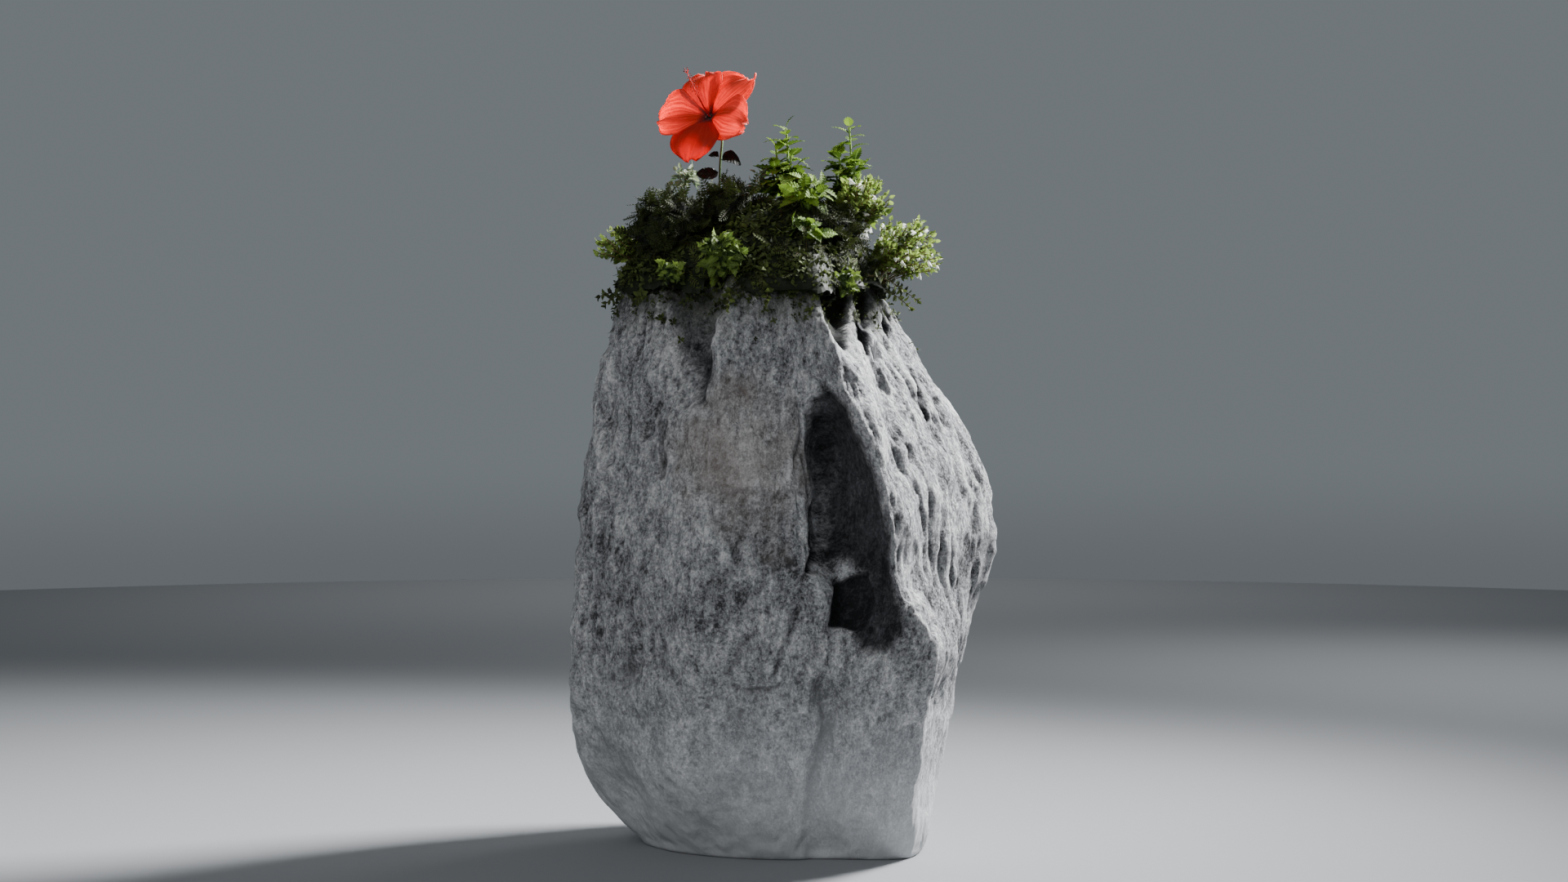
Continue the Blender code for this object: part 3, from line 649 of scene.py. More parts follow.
def bell(length, radius):
    """A hanging white flower with five lobes."""
    verts, faces = [(0, 0, 0)], []
    for i in range(10):
        turn = math.tau * i / 10
        out = radius * (1.0 if i % 2 else 0.62)
        deep = length * (1.0 if i % 2 else 0.72)
        verts.append((out * math.cos(turn) + length * 0.3, out * math.sin(turn), -deep))
        faces.append((0, 1 + (i + 1) % 10, 1 + i))
    return [(verts, faces, [(1, 0, FLOWER)] * 11)]


nettle_leaf = shape("toothed_nettle_leaf", [blade_points(0.028, 0.0096, 12, 0.26, 0.22, 0.30)])
tuft_leaf = shape("toothed_tuft_leaf", [blade_points(0.016, 0.0048, 8, 0.28, 0.25, 0.30)])
small_leaf = shape("small_oval_leaf", [blade_points(0.0125, 0.0042, 4, 0.0, 0.25, 0.25)])
round_leaf = shape("small_round_leaf", [blade_points(0.0130, 0.0062, 5, 0.0, 0.18, 0.20)])
long_leaf = shape("long_pale_leaf", [blade_points(0.0200, 0.0056, 6, 0.0, 0.30, 0.35)])
creeping_sprig = shape("creeping_sprig", [
    blade_points(0.0062, 0.0021, 2, 0.0, 0.3, 0.3, 0.0, lift=0.25 * i, turn=2.4 * i, shift=(0, 0, 0.0009 * i))
    for i in range(5)
])
fern_spray = shape("fern_spray", feather(0.027, 7, 0.0078, 0.0017, 0.30))
white_bell = shape("white_bell", bell(0.0125, 0.0060))

# %% [markdown]
# ## Two ways to grow
# A bushy plant is thick with leaves all over its outside, and an upright one carries them along
# its stems. Each way is one geometry tree. The first scatters a spray over a surface, keeping
# the sprays apart, leaning each one from the surface and turning it at random. The second walks
# along stems and sets leaves on them at an even spacing, each turned from the last by a fixed
# angle, as buds are. Both end by realising the copies, so that the result is one plain mesh.


# %% A geometry tree and its inputs
def geometry_tree(name, inputs):
    """A new tree with named inputs. Returns it and its inputs by name."""
    made = bpy.data.node_groups.new(name, "GeometryNodeTree")
    made.interface.new_socket("Geometry", in_out="INPUT", socket_type="NodeSocketGeometry")
    for label, kind in inputs.items():
        made.interface.new_socket(label, in_out="INPUT", socket_type="NodeSocket" + kind)
    made.interface.new_socket("Geometry", in_out="OUTPUT", socket_type="NodeSocketGeometry")
    return made, made.nodes.new("NodeGroupInput").outputs


def grown(name, source, tree, **values):
    """Runs a tree on an object and keeps the result as a plain mesh object of that name."""
    grow = source.modifiers.new("grow", "NODES")
    grow.node_group = tree
    for item in tree.interface.items_tree:
        key = item.name.replace(" ", "_").lower()
        if item.in_out == "INPUT" and key in values:
            grow[item.identifier] = values[key]
    mesh = evaluated(source)
    bpy.data.objects.remove(source)
    mesh.name = name
    return shown(name, mesh)


def between(tree, low, high, seed):
    """A random number for each point, from low to high."""
    return add(tree, "FunctionNodeRandomValue", {2: low, 3: high, "Seed": seed}, data_type="FLOAT").outputs[1]


def marked_with(tree, geometry, name, value, kind="FLOAT", domain="POINT"):
    """Stores a named value on a geometry."""
    return add(tree, "GeometryNodeStoreNamedAttribute", {"Geometry": geometry, "Name": name, "Value": value},
               data_type=kind, domain=domain).outputs[0]


def planted(tree, points, inputs, rotation, scale, extra):
    """Sets a leaf, or now and then a flower, on each point, and joins the rest to them."""
    together = add(tree, "GeometryNodeJoinGeometry")
    draw = between(tree, 0.0, 1.0, 31)
    for thing, test in (("Leaf", "GREATER_EQUAL"), ("Flower", "LESS_THAN")):
        chosen = add(tree, "FunctionNodeCompare", {0: draw, 1: inputs["Flower share"]}, operation=test)
        copies = add(
            tree, "GeometryNodeInstanceOnPoints",
            {"Points": points, "Selection": chosen.outputs[0], "Rotation": rotation, "Scale": scale,
             "Instance": add(tree, "GeometryNodeObjectInfo", {"Object": inputs[thing]}).outputs["Geometry"]},
        )
        tinted = marked_with(tree, copies.outputs[0], "tint", between(tree, 0.0, 1.0, 32), domain="INSTANCE")
        tree.links.new(tinted, together.inputs[0])
    tree.links.new(extra, together.inputs[0])
    real = add(tree, "GeometryNodeRealizeInstances", {"Geometry": together.outputs[0]})
    painted = add(tree, "GeometryNodeSetMaterial",
                  {"Geometry": real.outputs[0], "Material": inputs["Leaf finish"]})
    add(tree, "NodeGroupOutput", {"Geometry": painted.outputs[0]})
    print(tree.name, len(tree.nodes), "nodes")


def turn_by(tree, rotation, roll, lift, spin):
    """Rolls a leaf about its rib, lifts its tip, and spins it about its point's axis."""
    down = add(tree, "ShaderNodeMath", {0: lift, 1: -1.0}, operation="MULTIPLY")
    angles = add(tree, "ShaderNodeCombineXYZ", {"X": roll, "Y": down.outputs[0], "Z": spin})
    turn = add(tree, "FunctionNodeEulerToRotation", {0: angles.outputs[0]})
    return add(tree, "FunctionNodeRotateRotation", {"Rotation": rotation, "Rotate By": turn.outputs[0]},
               rotation_space="LOCAL").outputs[0]


LEAF_INPUTS = {
    "Leaf": "Object", "Flower": "Object", "Flower share": "Float", "Spacing": "Float",
    "Lift": "Float", "Lift spread": "Float", "Roll": "Float", "Leaf finish": "Material",
}

# %% Tree one: leaves over a surface
MOST_PER_SQUARE_METRE = 900000.0

over_surface, inputs = geometry_tree(
    "leaves_over_surface",
    {**LEAF_INPUTS, "Smallest": "Float", "Largest": "Float", "Upward": "Float", "Leaves only": "Bool",
     "Seed": "Int"},
)
tree = over_surface
cover = add(tree, "GeometryNodeInputNamedAttribute", {"Name": "cover"}).outputs[0]
scattered = add(
    tree, "GeometryNodeDistributePointsOnFaces",
    {"Mesh": inputs["Geometry"], "Distance Min": inputs["Spacing"], "Density Max": MOST_PER_SQUARE_METRE,
     "Density Factor": cover, "Seed": inputs["Seed"]},
    distribute_method="POISSON",
)
upward = add(tree, "ShaderNodeCombineXYZ", {"Z": inputs["Upward"]}).outputs[0]
leaned = add(tree, "ShaderNodeVectorMath", {0: scattered.outputs["Normal"], 1: upward})
stood = add(tree, "FunctionNodeAlignRotationToVector", {"Vector": leaned.outputs[0]}, axis="Z")
lift = sum_of(tree, inputs["Lift"], between(tree, -1.0, 1.0, 12), inputs["Lift spread"])
roll = add(tree, "ShaderNodeMath", {0: inputs["Roll"], 1: between(tree, -1.0, 1.0, 11)},
           operation="MULTIPLY")
planted(
    tree, scattered.outputs["Points"], inputs,
    turn_by(tree, stood.outputs[0], roll.outputs[0], lift, between(tree, 0.0, math.tau, 13)),
    between(tree, inputs["Smallest"], inputs["Largest"], 14),
    add(tree, "GeometryNodeSwitch", {"Switch": inputs["Leaves only"], "False": inputs["Geometry"]},
        input_type="GEOMETRY").outputs[0],
)

# %% Tree two: leaves along stems
along_stems, inputs = geometry_tree(
    "leaves_along_stems",
    {**LEAF_INPUTS, "Turn": "Float", "Base size": "Float", "Tip size": "Float", "Bare share": "Float",
     "Stem radius": "Float"},
)
tree = along_stems
share = add(tree, "GeometryNodeSplineParameter").outputs["Factor"]
stems = marked_with(tree, inputs["Geometry"], "share", share)
buds = add(tree, "GeometryNodeCurveToPoints", {"Curve": stems, "Length": inputs["Spacing"]}, mode="LENGTH")
standing = marked_with(tree, buds.outputs["Points"], "stand", buds.outputs["Rotation"], "QUATERNION")
share_here = add(tree, "GeometryNodeInputNamedAttribute", {"Name": "share"}).outputs[0]
bare = add(tree, "FunctionNodeCompare", {0: share_here, 1: inputs["Bare share"]}, operation="LESS_THAN")
leafy = add(tree, "GeometryNodeDeleteGeometry", {"Geometry": standing, "Selection": bare.outputs[0]})
order = add(tree, "GeometryNodeInputIndex").outputs[0]
spin = sum_of(tree, between(tree, -0.25, 0.25, 21), order, inputs["Turn"])
lift = sum_of(tree, inputs["Lift"], between(tree, -1.0, 1.0, 22), inputs["Lift spread"])
near_tip = add(tree, "ShaderNodeMath", {0: share_here, 1: 5.0}, operation="POWER").outputs[0]
lift = sum_of(tree, lift, near_tip, 0.9)
roll = add(tree, "ShaderNodeMath", {0: inputs["Roll"], 1: between(tree, -1.0, 1.0, 25)},
           operation="MULTIPLY")
size = span(tree, share_here, 0.0, 1.0, inputs["Base size"], inputs["Tip size"])
varied = add(tree, "ShaderNodeMath", {0: size, 1: between(tree, 0.75, 1.15, 23)},
             operation="MULTIPLY")
ring = add(tree, "GeometryNodeCurvePrimitiveCircle",
           {"Resolution": 5, "Radius": inputs["Stem radius"]})
tubes = add(tree, "GeometryNodeCurveToMesh",
            {"Curve": stems, "Profile Curve": ring.outputs[0], "Fill Caps": True})
stand = add(tree, "GeometryNodeInputNamedAttribute", {"Name": "stand"}, data_type="QUATERNION").outputs[0]
planted(
    tree, leafy.outputs[0], inputs, turn_by(tree, stand, roll.outputs[0], lift, spin),
    varied.outputs[0],
    marked_with(tree, tubes.outputs[0], "blade", (0.0, 0.0, STEM), "FLOAT_VECTOR"),
)

# %% [markdown]
# ## Leaf finishes
# A living leaf is a thin sheet under a waxy skin: half matt, with a soft sheen, and it lets some
# light through, which is why leaves against the light glow yellow green. So each finish mixes a
# little translucent light into a plain shader. Young leaves are brighter than old ones, the
# midrib is paler, and every leaf has its own tint.


# %% Leaf material
SIDE_VEINS = 44.0
VEIN_HEIGHT = 0.0004


def see_through(material, colour, share):
    """Lets a share of the light through a thin sheet, in the sheet's own colour."""
    tree = material.node_tree
    glow = add(tree, "ShaderNodeBsdfTranslucent", {"Color": colour})
    mixed = add(tree, "ShaderNodeMixShader",
                {0: share, 1: tree.nodes["Principled BSDF"].outputs[0], 2: glow.outputs[0]})
    tree.links.new(mixed.outputs[0], tree.nodes["Material Output"].inputs["Surface"])


def leaf_finish(name, old, young, stem, flower, through, gloss_roughness):
    """The finish of one plant: old and young leaf, stem and flower colours, and light let through."""
    material, tree, shader = shader_of(name)
    blade = add(tree, "ShaderNodeAttribute", attribute_name="blade").outputs["Vector"]
    along, across, kind = add(tree, "ShaderNodeSeparateXYZ", {0: blade}).outputs
    tint = add(tree, "ShaderNodeAttribute", attribute_name="tint").outputs["Fac"]
    place = add(tree, "ShaderNodeTexCoord").outputs["Object"]
    patches = add(tree, "ShaderNodeTexNoise", {"Vector": place, "Scale": 45.0, "Detail": 3.0}).outputs["Fac"]
    fresh = sum_of(tree, sum_of(tree, sum_of(tree, 0.0, patches, 1.6), tint, 0.8), along, 0.25)
    leaf = blend(tree, span(tree, fresh, 0.75, 1.75), old, young)
    offset = add(tree, "ShaderNodeMath", {0: across}, operation="ABSOLUTE").outputs[0]
    leaf = blend(tree, span(tree, offset, 0.18, 0.0, 0.0, 0.55), leaf, stem)
    leaf = blend(tree, span(tree, kind, 0.2, 0.8), leaf, stem)
    colour = blend(tree, span(tree, kind, 1.4, 1.9), leaf, flower)
    tree.links.new(colour, shader.inputs["Base Color"])
    shader.inputs["Roughness"].default_value = gloss_roughness
    shader.inputs["IOR"].default_value = 1.45
    shader.inputs["Specular IOR Level"].default_value = 0.25
    slanted = sum_of(tree, along, offset, -0.22)
    ripple = add(tree, "ShaderNodeMath", {0: slanted, 1: SIDE_VEINS}, operation="MULTIPLY")
    wave = add(tree, "ShaderNodeMath", {0: ripple.outputs[0]}, operation="SINE").outputs[0]
    bump = add(tree, "ShaderNodeBump", {"Height": wave, "Distance": VEIN_HEIGHT, "Strength": 0.5})
    tree.links.new(bump.outputs["Normal"], shader.inputs["Normal"])
    see_through(material, colour, through)
    return material


# Living leaves as they grew, waxy and half matt. Each: old leaf, young leaf, stem and rib, and
# flower colours, then the share of light let through and the roughness.
NETTLE_LEAF = leaf_finish("nettle_leaf", "#2b4215", "#6d8a2b", "#7f9d4c", "#eef0e4", 0.32, 0.60)
TUFT_LEAF = leaf_finish("toothed_tuft_leaf", "#2c3e18", "#6c8233", "#7d9a55", "#eef0e4", 0.30, 0.50)
FERN_LEAF = leaf_finish("dark_fern_frond", "#0b1007", "#36431a", "#3f3d22", "#eef0e4", 0.18, 0.55)
BUSH_LEAF = leaf_finish("small_bush_leaf", "#4a6128", "#93ad52", "#72603c", "#fbfcf8", 0.35, 0.45)
PALE_LEAF = leaf_finish("variegated_leaf", "#4a5c44", "#8f9c7c", "#6d7c54", "#fbfcf8", 0.30, 0.40)
CREEPER = leaf_finish("creeping_moss", "#161d0d", "#4e5d2a", "#4a4128", "#eef0e4", 0.25, 0.65)
print("leaf finishes made")

# %% [markdown]
# ## The carpet of moss
# Moss and creeping leaves cover the crown and thin out over its edge. The solid of the carpet
# is made rougher and given the darkest leaf colour, as painted shade deep among the stems, and
# thousands of tiny leaves are scattered over it. Few grow near its rim, so the edge breaks up in
# specks. Larger sprays stand in its middle, and some trail out over the rim.


# %% Creeping plants
def covered(obj, cover):
    """Says how thick leaves may grow at each point of a surface, from 0 to 1."""
    keep(obj.data, "cover", cover)
    # Its own faces, where they show between the leaves, take the darkest leaf colour: painted shade.
    keep(obj.data, "blade", np.tile((0.0, 0.6, LEAF), (len(obj.data.vertices), 1)))
    keep(obj.data, "tint", np.full(len(obj.data.vertices), -1.0))
    return obj


def merged(name, *parts):
    """Several mesh objects as one."""
    bm = bmesh.new()
    for part in parts:
        bm.from_mesh(part.data)
        bpy.data.objects.remove(part)
    return shown(name, mesh_of(name, bm))


def stem_curves(name, routes):
    """One curve object with a line for each stem, thinner towards its tip."""
    curve = bpy.data.curves.new(name, "CURVE")
    curve.dimensions = "3D"
    for route in routes:
        spline = curve.splines.new("POLY")
        spline.points.add(len(route) - 1)
        for i, (point, place) in enumerate(zip(spline.points, route)):
            point.co = (*place, 1.0)
            point.radius = 1.0 - 0.6 * i / len(route)
    return shown(name, curve)


def bowed(foot, tip, bow, steps=9):
    """Points of a stem that bows away from the straight line between its ends."""
    foot, tip, bow = Vector(foot), Vector(tip), Vector(bow)
    return [foot.lerp(tip, t) + bow * 4 * t * (1 - t) for t in (i / steps for i in range(steps + 1))]


RIM_SPRIGS = (
    ((-0.195, -0.03, 0.668), (-0.222, -0.06, 0.664)), ((-0.190, -0.06, 0.664), (-0.212, -0.085, 0.654)),
    ((0.118, -0.02, 0.676), (0.152, -0.045, 0.652)), ((0.128, 0.0, 0.680), (0.163, -0.02, 0.662)),
    ((-0.060, -0.150, 0.664), (-0.066, -0.176, 0.645)), ((-0.018, -0.150, 0.668), (-0.020, -0.178, 0.650)),
    ((0.100, -0.06, 0.690), (0.140, -0.085, 0.672)), ((-0.165, -0.09, 0.666), (-0.172, -0.12, 0.655)),
)

# Heights over which each layer of moss thickens.
LOW_MOSS_EDGE, HIGH_MOSS_EDGE, CREEPER_EDGE = (0.640, 0.695), (0.672, 0.715), (0.618, 0.690)
CARPET_VOXEL, CARPET_LUMP, CARPET_SUNK = 0.005, 0.003, 0.0075

carpet = even_skin(copy_of("ground_cover", "carpet"), CARPET_VOXEL, 3)
places = points_of(carpet.data)
outward = points_of(carpet.data, "normal")
bumps = rough(places, (60, 60, 60), 2.2, 3)
move_points(carpet.data, places + outward * (CARPET_LUMP * bumps - CARPET_SUNK)[:, None])
thick = ease(places[:, 2] + 0.016 * bumps, *LOW_MOSS_EDGE)
covered(carpet, np.clip(thick * (outward[:, 2] > -0.6), 0.03, 1))
upper = twin(carpet)
upper_cover = ease(places[:, 2] + 0.02 * bumps, *HIGH_MOSS_EDGE)
upper.data.attributes["cover"].data.foreach_set("value", upper_cover)
rim = twin(stone)
places = points_of(rim.data)
clumps = rough(places, (45, 45, 30), 7.3, 3)
covered(rim, 0.40 * ease(places[:, 2] + 0.05 * clumps, *CREEPER_EDGE))
moss = merged(
    "creeping_moss",
    grown("low_moss", carpet, over_surface, leaf=creeping_sprig, spacing=0.0064, smallest=0.8, largest=1.6,
          lift=0.3, lift_spread=0.5, roll=0.4, upward=0.4, seed=3, leaf_finish=CREEPER),
    grown("high_moss", upper, over_surface, leaf=fern_spray, spacing=0.0080, smallest=0.5, largest=0.9,
          lift=0.5, lift_spread=0.4, roll=0.4, upward=0.5, seed=4, leaves_only=True, leaf_finish=CREEPER),
    grown("creepers", rim, over_surface, leaf=creeping_sprig, spacing=0.0050, smallest=0.5, largest=1.2,
          lift=0.2, lift_spread=0.5, roll=0.4, upward=0.1, seed=6, leaves_only=True, leaf_finish=CREEPER),
    grown("rim_moss", stem_curves("rim_stems", [bowed(a, b, (0, 0, 0.004)) for a, b in RIM_SPRIGS]),
          along_stems, leaf=small_leaf, spacing=0.0024, turn=2.4, lift=0.5, lift_spread=0.3, base_size=0.9,
          tip_size=0.6, bare_share=0.1, stem_radius=0.0005, leaf_finish=CREEPER),
)
finished(moss, CREEPER, "creeping_green", "ground_cover")

# %% [markdown]
# ## Ferns and tufts
# Each bushy plant starts from its own solid, drawn in by the length of a spray, so that the
# sprays' tips reach the plant's real outline. Sprays lean outwards and droop at their tips.


# %% Bushy plants
CORE_LUMP = 0.004


def drawn_in(node, share, voxel=0.006):
    """A plant's solid shrunk towards its middle and made lumpy, to carry its leaves."""
    core = even_skin(copy_of(node, node + "_core"), voxel, 2)
    places = points_of(core.data)
    outward = points_of(core.data, "normal")
    middle = (places.max(0) + places.min(0)) / 2
    lumpy = outward * (CORE_LUMP * rough(places, (80, 80, 80), 1.1, 2))[:, None]
    move_points(core.data, middle + (places - middle) * share + lumpy)
    # The core, where it shows between the sprays, gets the darkest leaf colour as painted shade.
    return covered(core, np.ones(len(places)))


FERNS = ("back_fern_mound_left", "back_fern_mound_right", "middle_fern_mound", "left_fern_mound",
         "right_fern_mound")
for seed, node in enumerate(FERNS):
    plant = grown(
        node.replace("mound", "fronds"), drawn_in(node, 0.76), over_surface, leaf=fern_spray, spacing=0.0056,
        smallest=0.55, largest=1.0, lift=0.6, lift_spread=0.5, roll=0.5, upward=0.45, seed=seed,
        leaf_finish=FERN_LEAF,
    )
    finished(plant, FERN_LEAF, "dark_fern_green", node)

# Each tuft: its solid, how far it is drawn in, and the size of its leaves.
TUFTS = (("front_tuft_middle", 0.62, 1.1), ("front_tuft_left", 0.55, 0.8), ("front_tuft_right", 0.55, 0.9))
for seed, (node, share, size) in enumerate(TUFTS):
    plant = grown(
        node + "_leaves", drawn_in(node, share, 0.004), over_surface, leaf=tuft_leaf, spacing=0.0042,
        smallest=0.6 * size, largest=1.1 * size, lift=0.75, lift_spread=0.35, roll=0.5, upward=0.25,
        seed=seed, leaf_finish=TUFT_LEAF,
    )
    finished(plant, TUFT_LEAF, "nettle_green", node)

# %% [markdown]
# ## Stems and upright plants
# A stem leaves its root, bows outwards and turns up towards the light. A few random stems of
# that kind fill the space of a bush, and straight ones carry the tall nettles.


# %% Small bushes
def bush_routes(node, count, seed, reach, root=None, lowest=-0.5):
    """Stems from the root of a bush out to the round form of its solid."""
    draw = random.Random(seed)
    low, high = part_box(node)
    middle, half = (low + high) / 2, (high - low) / 2
    start = Vector(root) if root else middle - Vector((0, 0, half.z * 0.4))
    routes = []
    for _ in range(count):
        rise = draw.uniform(lowest, 1.0)
        turn = draw.uniform(0, math.tau)
        flat = math.sqrt(max(0.0, 1 - rise * rise))
        way = (flat * math.cos(turn) * half.x, flat * math.sin(turn) * half.y, rise * half.z)
        tip = middle + Vector(way) * reach * draw.uniform(0.72, 1.0)
        routes.append(bowed(start, tip, (0, 0, 0.25 * half.z * draw.uniform(0.2, 1.0))))
    return routes


BUSHES = (
    # solid, leaf, finish, stems, spacing, size, reach, root, share of flowers
    ("flowering_bush_right", small_leaf, BUSH_LEAF, 95, 0.0036, 1.05, 0.95, (0.112, -0.005, 0.680), 0.070),
    ("flowering_bush_upper", small_leaf, BUSH_LEAF, 70, 0.0036, 1.15, 0.95, (0.085, -0.015, 0.735), 0.055),
    ("left_trailing_plant", round_leaf, BUSH_LEAF, 46, 0.0042, 0.95, 0.95, (-0.172, -0.020, 0.700), 0.0),
    ("pale_sprig_left", long_leaf, PALE_LEAF, 18, 0.0050, 0.95, 0.85, None, 0.0),
    ("pale_sprig_middle", long_leaf, PALE_LEAF, 11, 0.0050, 0.95, 0.85, None, 0.0),
)
for seed, (node, leaf, finish, count, spacing, size, reach, root, flowers) in enumerate(BUSHES):
    routes = bush_routes(node, count, seed, reach, root)
    plant = grown(
        node + "_leaves", stem_curves(node + "_stems", routes), along_stems, leaf=leaf, flower=white_bell,
        flower_share=flowers, spacing=spacing, turn=2.4, lift=0.6, lift_spread=0.3, roll=0.4, base_size=size,
        tip_size=0.6 * size, bare_share=0.42, stem_radius=0.0006, leaf_finish=finish,
    )
    finished(plant, finish, "pale_bush_green", node)

# %% Nettles
for seed, (node, count) in enumerate((("nettle_clump_front", 13), ("nettle_clump_low", 11))):
    low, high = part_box(node)
    root = ((low.x + high.x) / 2, (low.y + high.y) / 2 + 0.012, low.z)
    plant = grown(
        node + "_leaves", stem_curves(node + "_stems", bush_routes(node, count, seed + 30, 0.72, root, -0.2)),
        along_stems, leaf=nettle_leaf, spacing=0.0052, turn=2.4, lift=0.05, lift_spread=0.3, roll=0.3,
        base_size=1.45, tip_size=0.80, bare_share=0.62, stem_radius=0.0010, leaf_finish=NETTLE_LEAF,
    )
    finished(plant, NETTLE_LEAF, "nettle_green", node)

for seed, node in enumerate(("nettle_shoot_left", "nettle_shoot_right")):
    low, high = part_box(node)
    foot = Vector(((low.x + high.x) / 2, (low.y + high.y) / 2, low.z))
    height = high.z - low.z
    draw = random.Random(seed + 50)
    routes = [bowed(foot, foot + Vector((0.002, 0, 0.900 * height)), (0.003, 0, 0), 16)]
    for turn in (0.4, 1.5, 2.3, 3.1, 3.9, 5.3):
        out = Vector((math.cos(turn), math.sin(turn), 0))
        start = foot + Vector((0, 0, height * draw.uniform(0.02, 0.15)))
        tip = start + out * 0.015 + Vector((0, 0, height * draw.uniform(0.25, 0.60)))
        routes.append(bowed(start, tip, out * 0.003))
    plant = grown(
        node + "_leaves", stem_curves(node + "_stems", routes), along_stems, leaf=nettle_leaf, spacing=0.0044,
        turn=math.radians(225), lift=0.05, lift_spread=0.30, roll=0.3, base_size=1.60, tip_size=0.85,
        bare_share=0.06, stem_radius=0.0013, leaf_finish=NETTLE_LEAF,
    )
    finished(plant, NETTLE_LEAF, "nettle_green", node)

# %% [markdown]
# ## The hibiscus
# The flower has five broad petals that overlap like a fan and roll back at their rims. Each is
# a grid of points laid out along and across the petal. The rim is ruffled, two petals fold one
# edge forward, fine veins fan out from the throat, and the column with its stamens stands out.
# Here the third value that a point keeps is the petal's share of the deep red, painted shade on the petals
# that lie out of the light.

# %% The flower's axes
FLOWER_CENTRE = Vector((-0.0895, -0.045, 0.8825))
AHEAD = Vector((-0.38, -0.83, 0.42)).normalized()
RIGHT = Vector((0, 0, 1)).cross(AHEAD).normalized()
TOP = AHEAD.cross(RIGHT)
THROAT = 0.0035
TRUMPET_DEPTH = 0.016
ROLL_BACK = 0.012
RUFFLE, FRILL, RIB_GROOVE, RAGGED_RIM = 0.0028, 0.0012, 0.0022, 0.0020
PETAL_THICKNESS, LEAF_THICKNESS = 0.00045, 0.0004
# Each petal: direction in degrees, length, half width, height in the fan, fold of its lower edge,
# pull of one corner, share of the deep red as painted shade.
PETALS = (
    (46, 0.061, 0.029, 0.0000, 0.00, 0.012, 0.0),
    (104, 0.056, 0.028, 0.0040, 0.60, 0.0, 0.35),
    (182, 0.064, 0.031, 0.0000, 0.50, 0.0, 0.0),
    (264, 0.066, 0.034, 0.0080, 0.00, 0.0, 0.85),
    (340, 0.056, 0.031, 0.0030, 0.00, 0.0, 0.0),
)

# %% Petal material
PETAL_LIGHT = "#ff684f"
PETAL_DEEP = "#cf1f12"
PETAL_THROAT = "#6a0606"

# A fresh petal: thin, moist and soft, so light glows through it and a faint sheen lies on it.
petal_skin, tree, shader = shader_of("hibiscus_petal")
blade = add(tree, "ShaderNodeAttribute", attribute_name="blade").outputs["Vector"]
along, across, deep = add(tree, "ShaderNodeSeparateXYZ", {0: blade}).outputs
veins = add(
    tree, "ShaderNodeTexNoise",
    {"Vector": add(tree, "ShaderNodeMapping", {"Vector": blade, "Scale": (1.2, 11, 1)}).outputs[0],
     "Scale": 1.0, "Detail": 5.0, "Roughness": 0.6},
).outputs["Fac"]
red = blend(tree, span(tree, sum_of(tree, veins, along, 0.28), 0.78, 0.46), PETAL_LIGHT, PETAL_DEEP)
# Painted shade: a petal that lies out of the light is turned towards the deep red as a whole.
red = blend(tree, deep, red, PETAL_DEEP)
petal_colour = blend(tree, span(tree, along, 0.16, 0.02), red, PETAL_THROAT)
tree.links.new(petal_colour, shader.inputs["Base Color"])
shader.inputs["Roughness"].default_value = 0.5
shader.inputs["Sheen Weight"].default_value = 0.1
bump = add(tree, "ShaderNodeBump", {"Height": veins, "Distance": 0.0010, "Strength": 0.5})
tree.links.new(bump.outputs["Normal"], shader.inputs["Normal"])
see_through(petal_skin, petal_colour, 0.60)


# %% Petals
def sheet_of(name, grid, place, wall, tone=LEAF):
    """A thin sheet: a grid whose points are put in place by their share along and across it."""
    bm = bmesh.new()
    bmesh.ops.create_grid(bm, x_segments=grid[0], y_segments=grid[1], size=1.0)
    marks = []
    for vert in bm.verts:
        along, across = (vert.co.x + 1) / 2, vert.co.y
        marks.append((along, across, tone))
        vert.co = place(along, across)
    bmesh.ops.recalc_face_normals(bm, faces=bm.faces)
    mesh = mesh_of(name, bm)
    keep(mesh, "blade", np.array(marks))
    mesh.shade_smooth()
    obj = shown(name, mesh)
    thicken = obj.modifiers.new("wall", "SOLIDIFY")
    thicken.thickness = wall
    thicken.offset = 0.0
    return baked(obj)


def petal(number, angle, length, widest, rise, fold, corner, deep):
    """One petal, from the throat to its ruffled rim."""
    way = math.radians(angle)
    out = RIGHT * math.cos(way) + TOP * math.sin(way)
    side = AHEAD.cross(out)

    def place(along, across):
        run = THROAT + along * length
        past = min(max(along - 0.50, 0.0) / 0.52, 1.0)
        half = min(0.95 * run, widest * math.sqrt(1 - past**2.6))
        offset = across * half
        rim = along**3
        forward = TRUMPET_DEPTH * (1 - (1 - along) ** 2.6) - ROLL_BACK * rim
        ruffle = RUFFLE * math.sin(6.0 * across + 1.7 * number) * rim
        frill = FRILL * math.sin(15 * across + 2.3 * number + 5 * along) * along**5
        groove = -RIB_GROOVE * math.exp(-((across / 0.16) ** 2)) * along * (1.2 - along)
        folded = fold * max(-across - 0.25, 0.0) * half * (1 - 0.5 * rim)
        pointed = corner * math.exp(-(((across + 0.8) / 0.35) ** 2)) * along**4
        lift = forward + ruffle + frill + groove + 0.10 * offset + folded + 0.8 * pointed + rise * along
        ragged = RAGGED_RIM * noise.noise(Vector((across * 5, number * 3.1, 0.0))) * rim
        rounded = -0.045 * length * abs(across) ** 2.2 * rim + ragged + pointed
        return FLOWER_CENTRE + out * (run + rounded) + side * offset + AHEAD * lift

    return sheet_of(f"petal_{number}", (30, 26), place, PETAL_THICKNESS, deep)


for number, entry in enumerate(PETALS, start=1):
    finished(petal(number, *entry), petal_skin, "petal_red", f"hibiscus_petal_{number}")


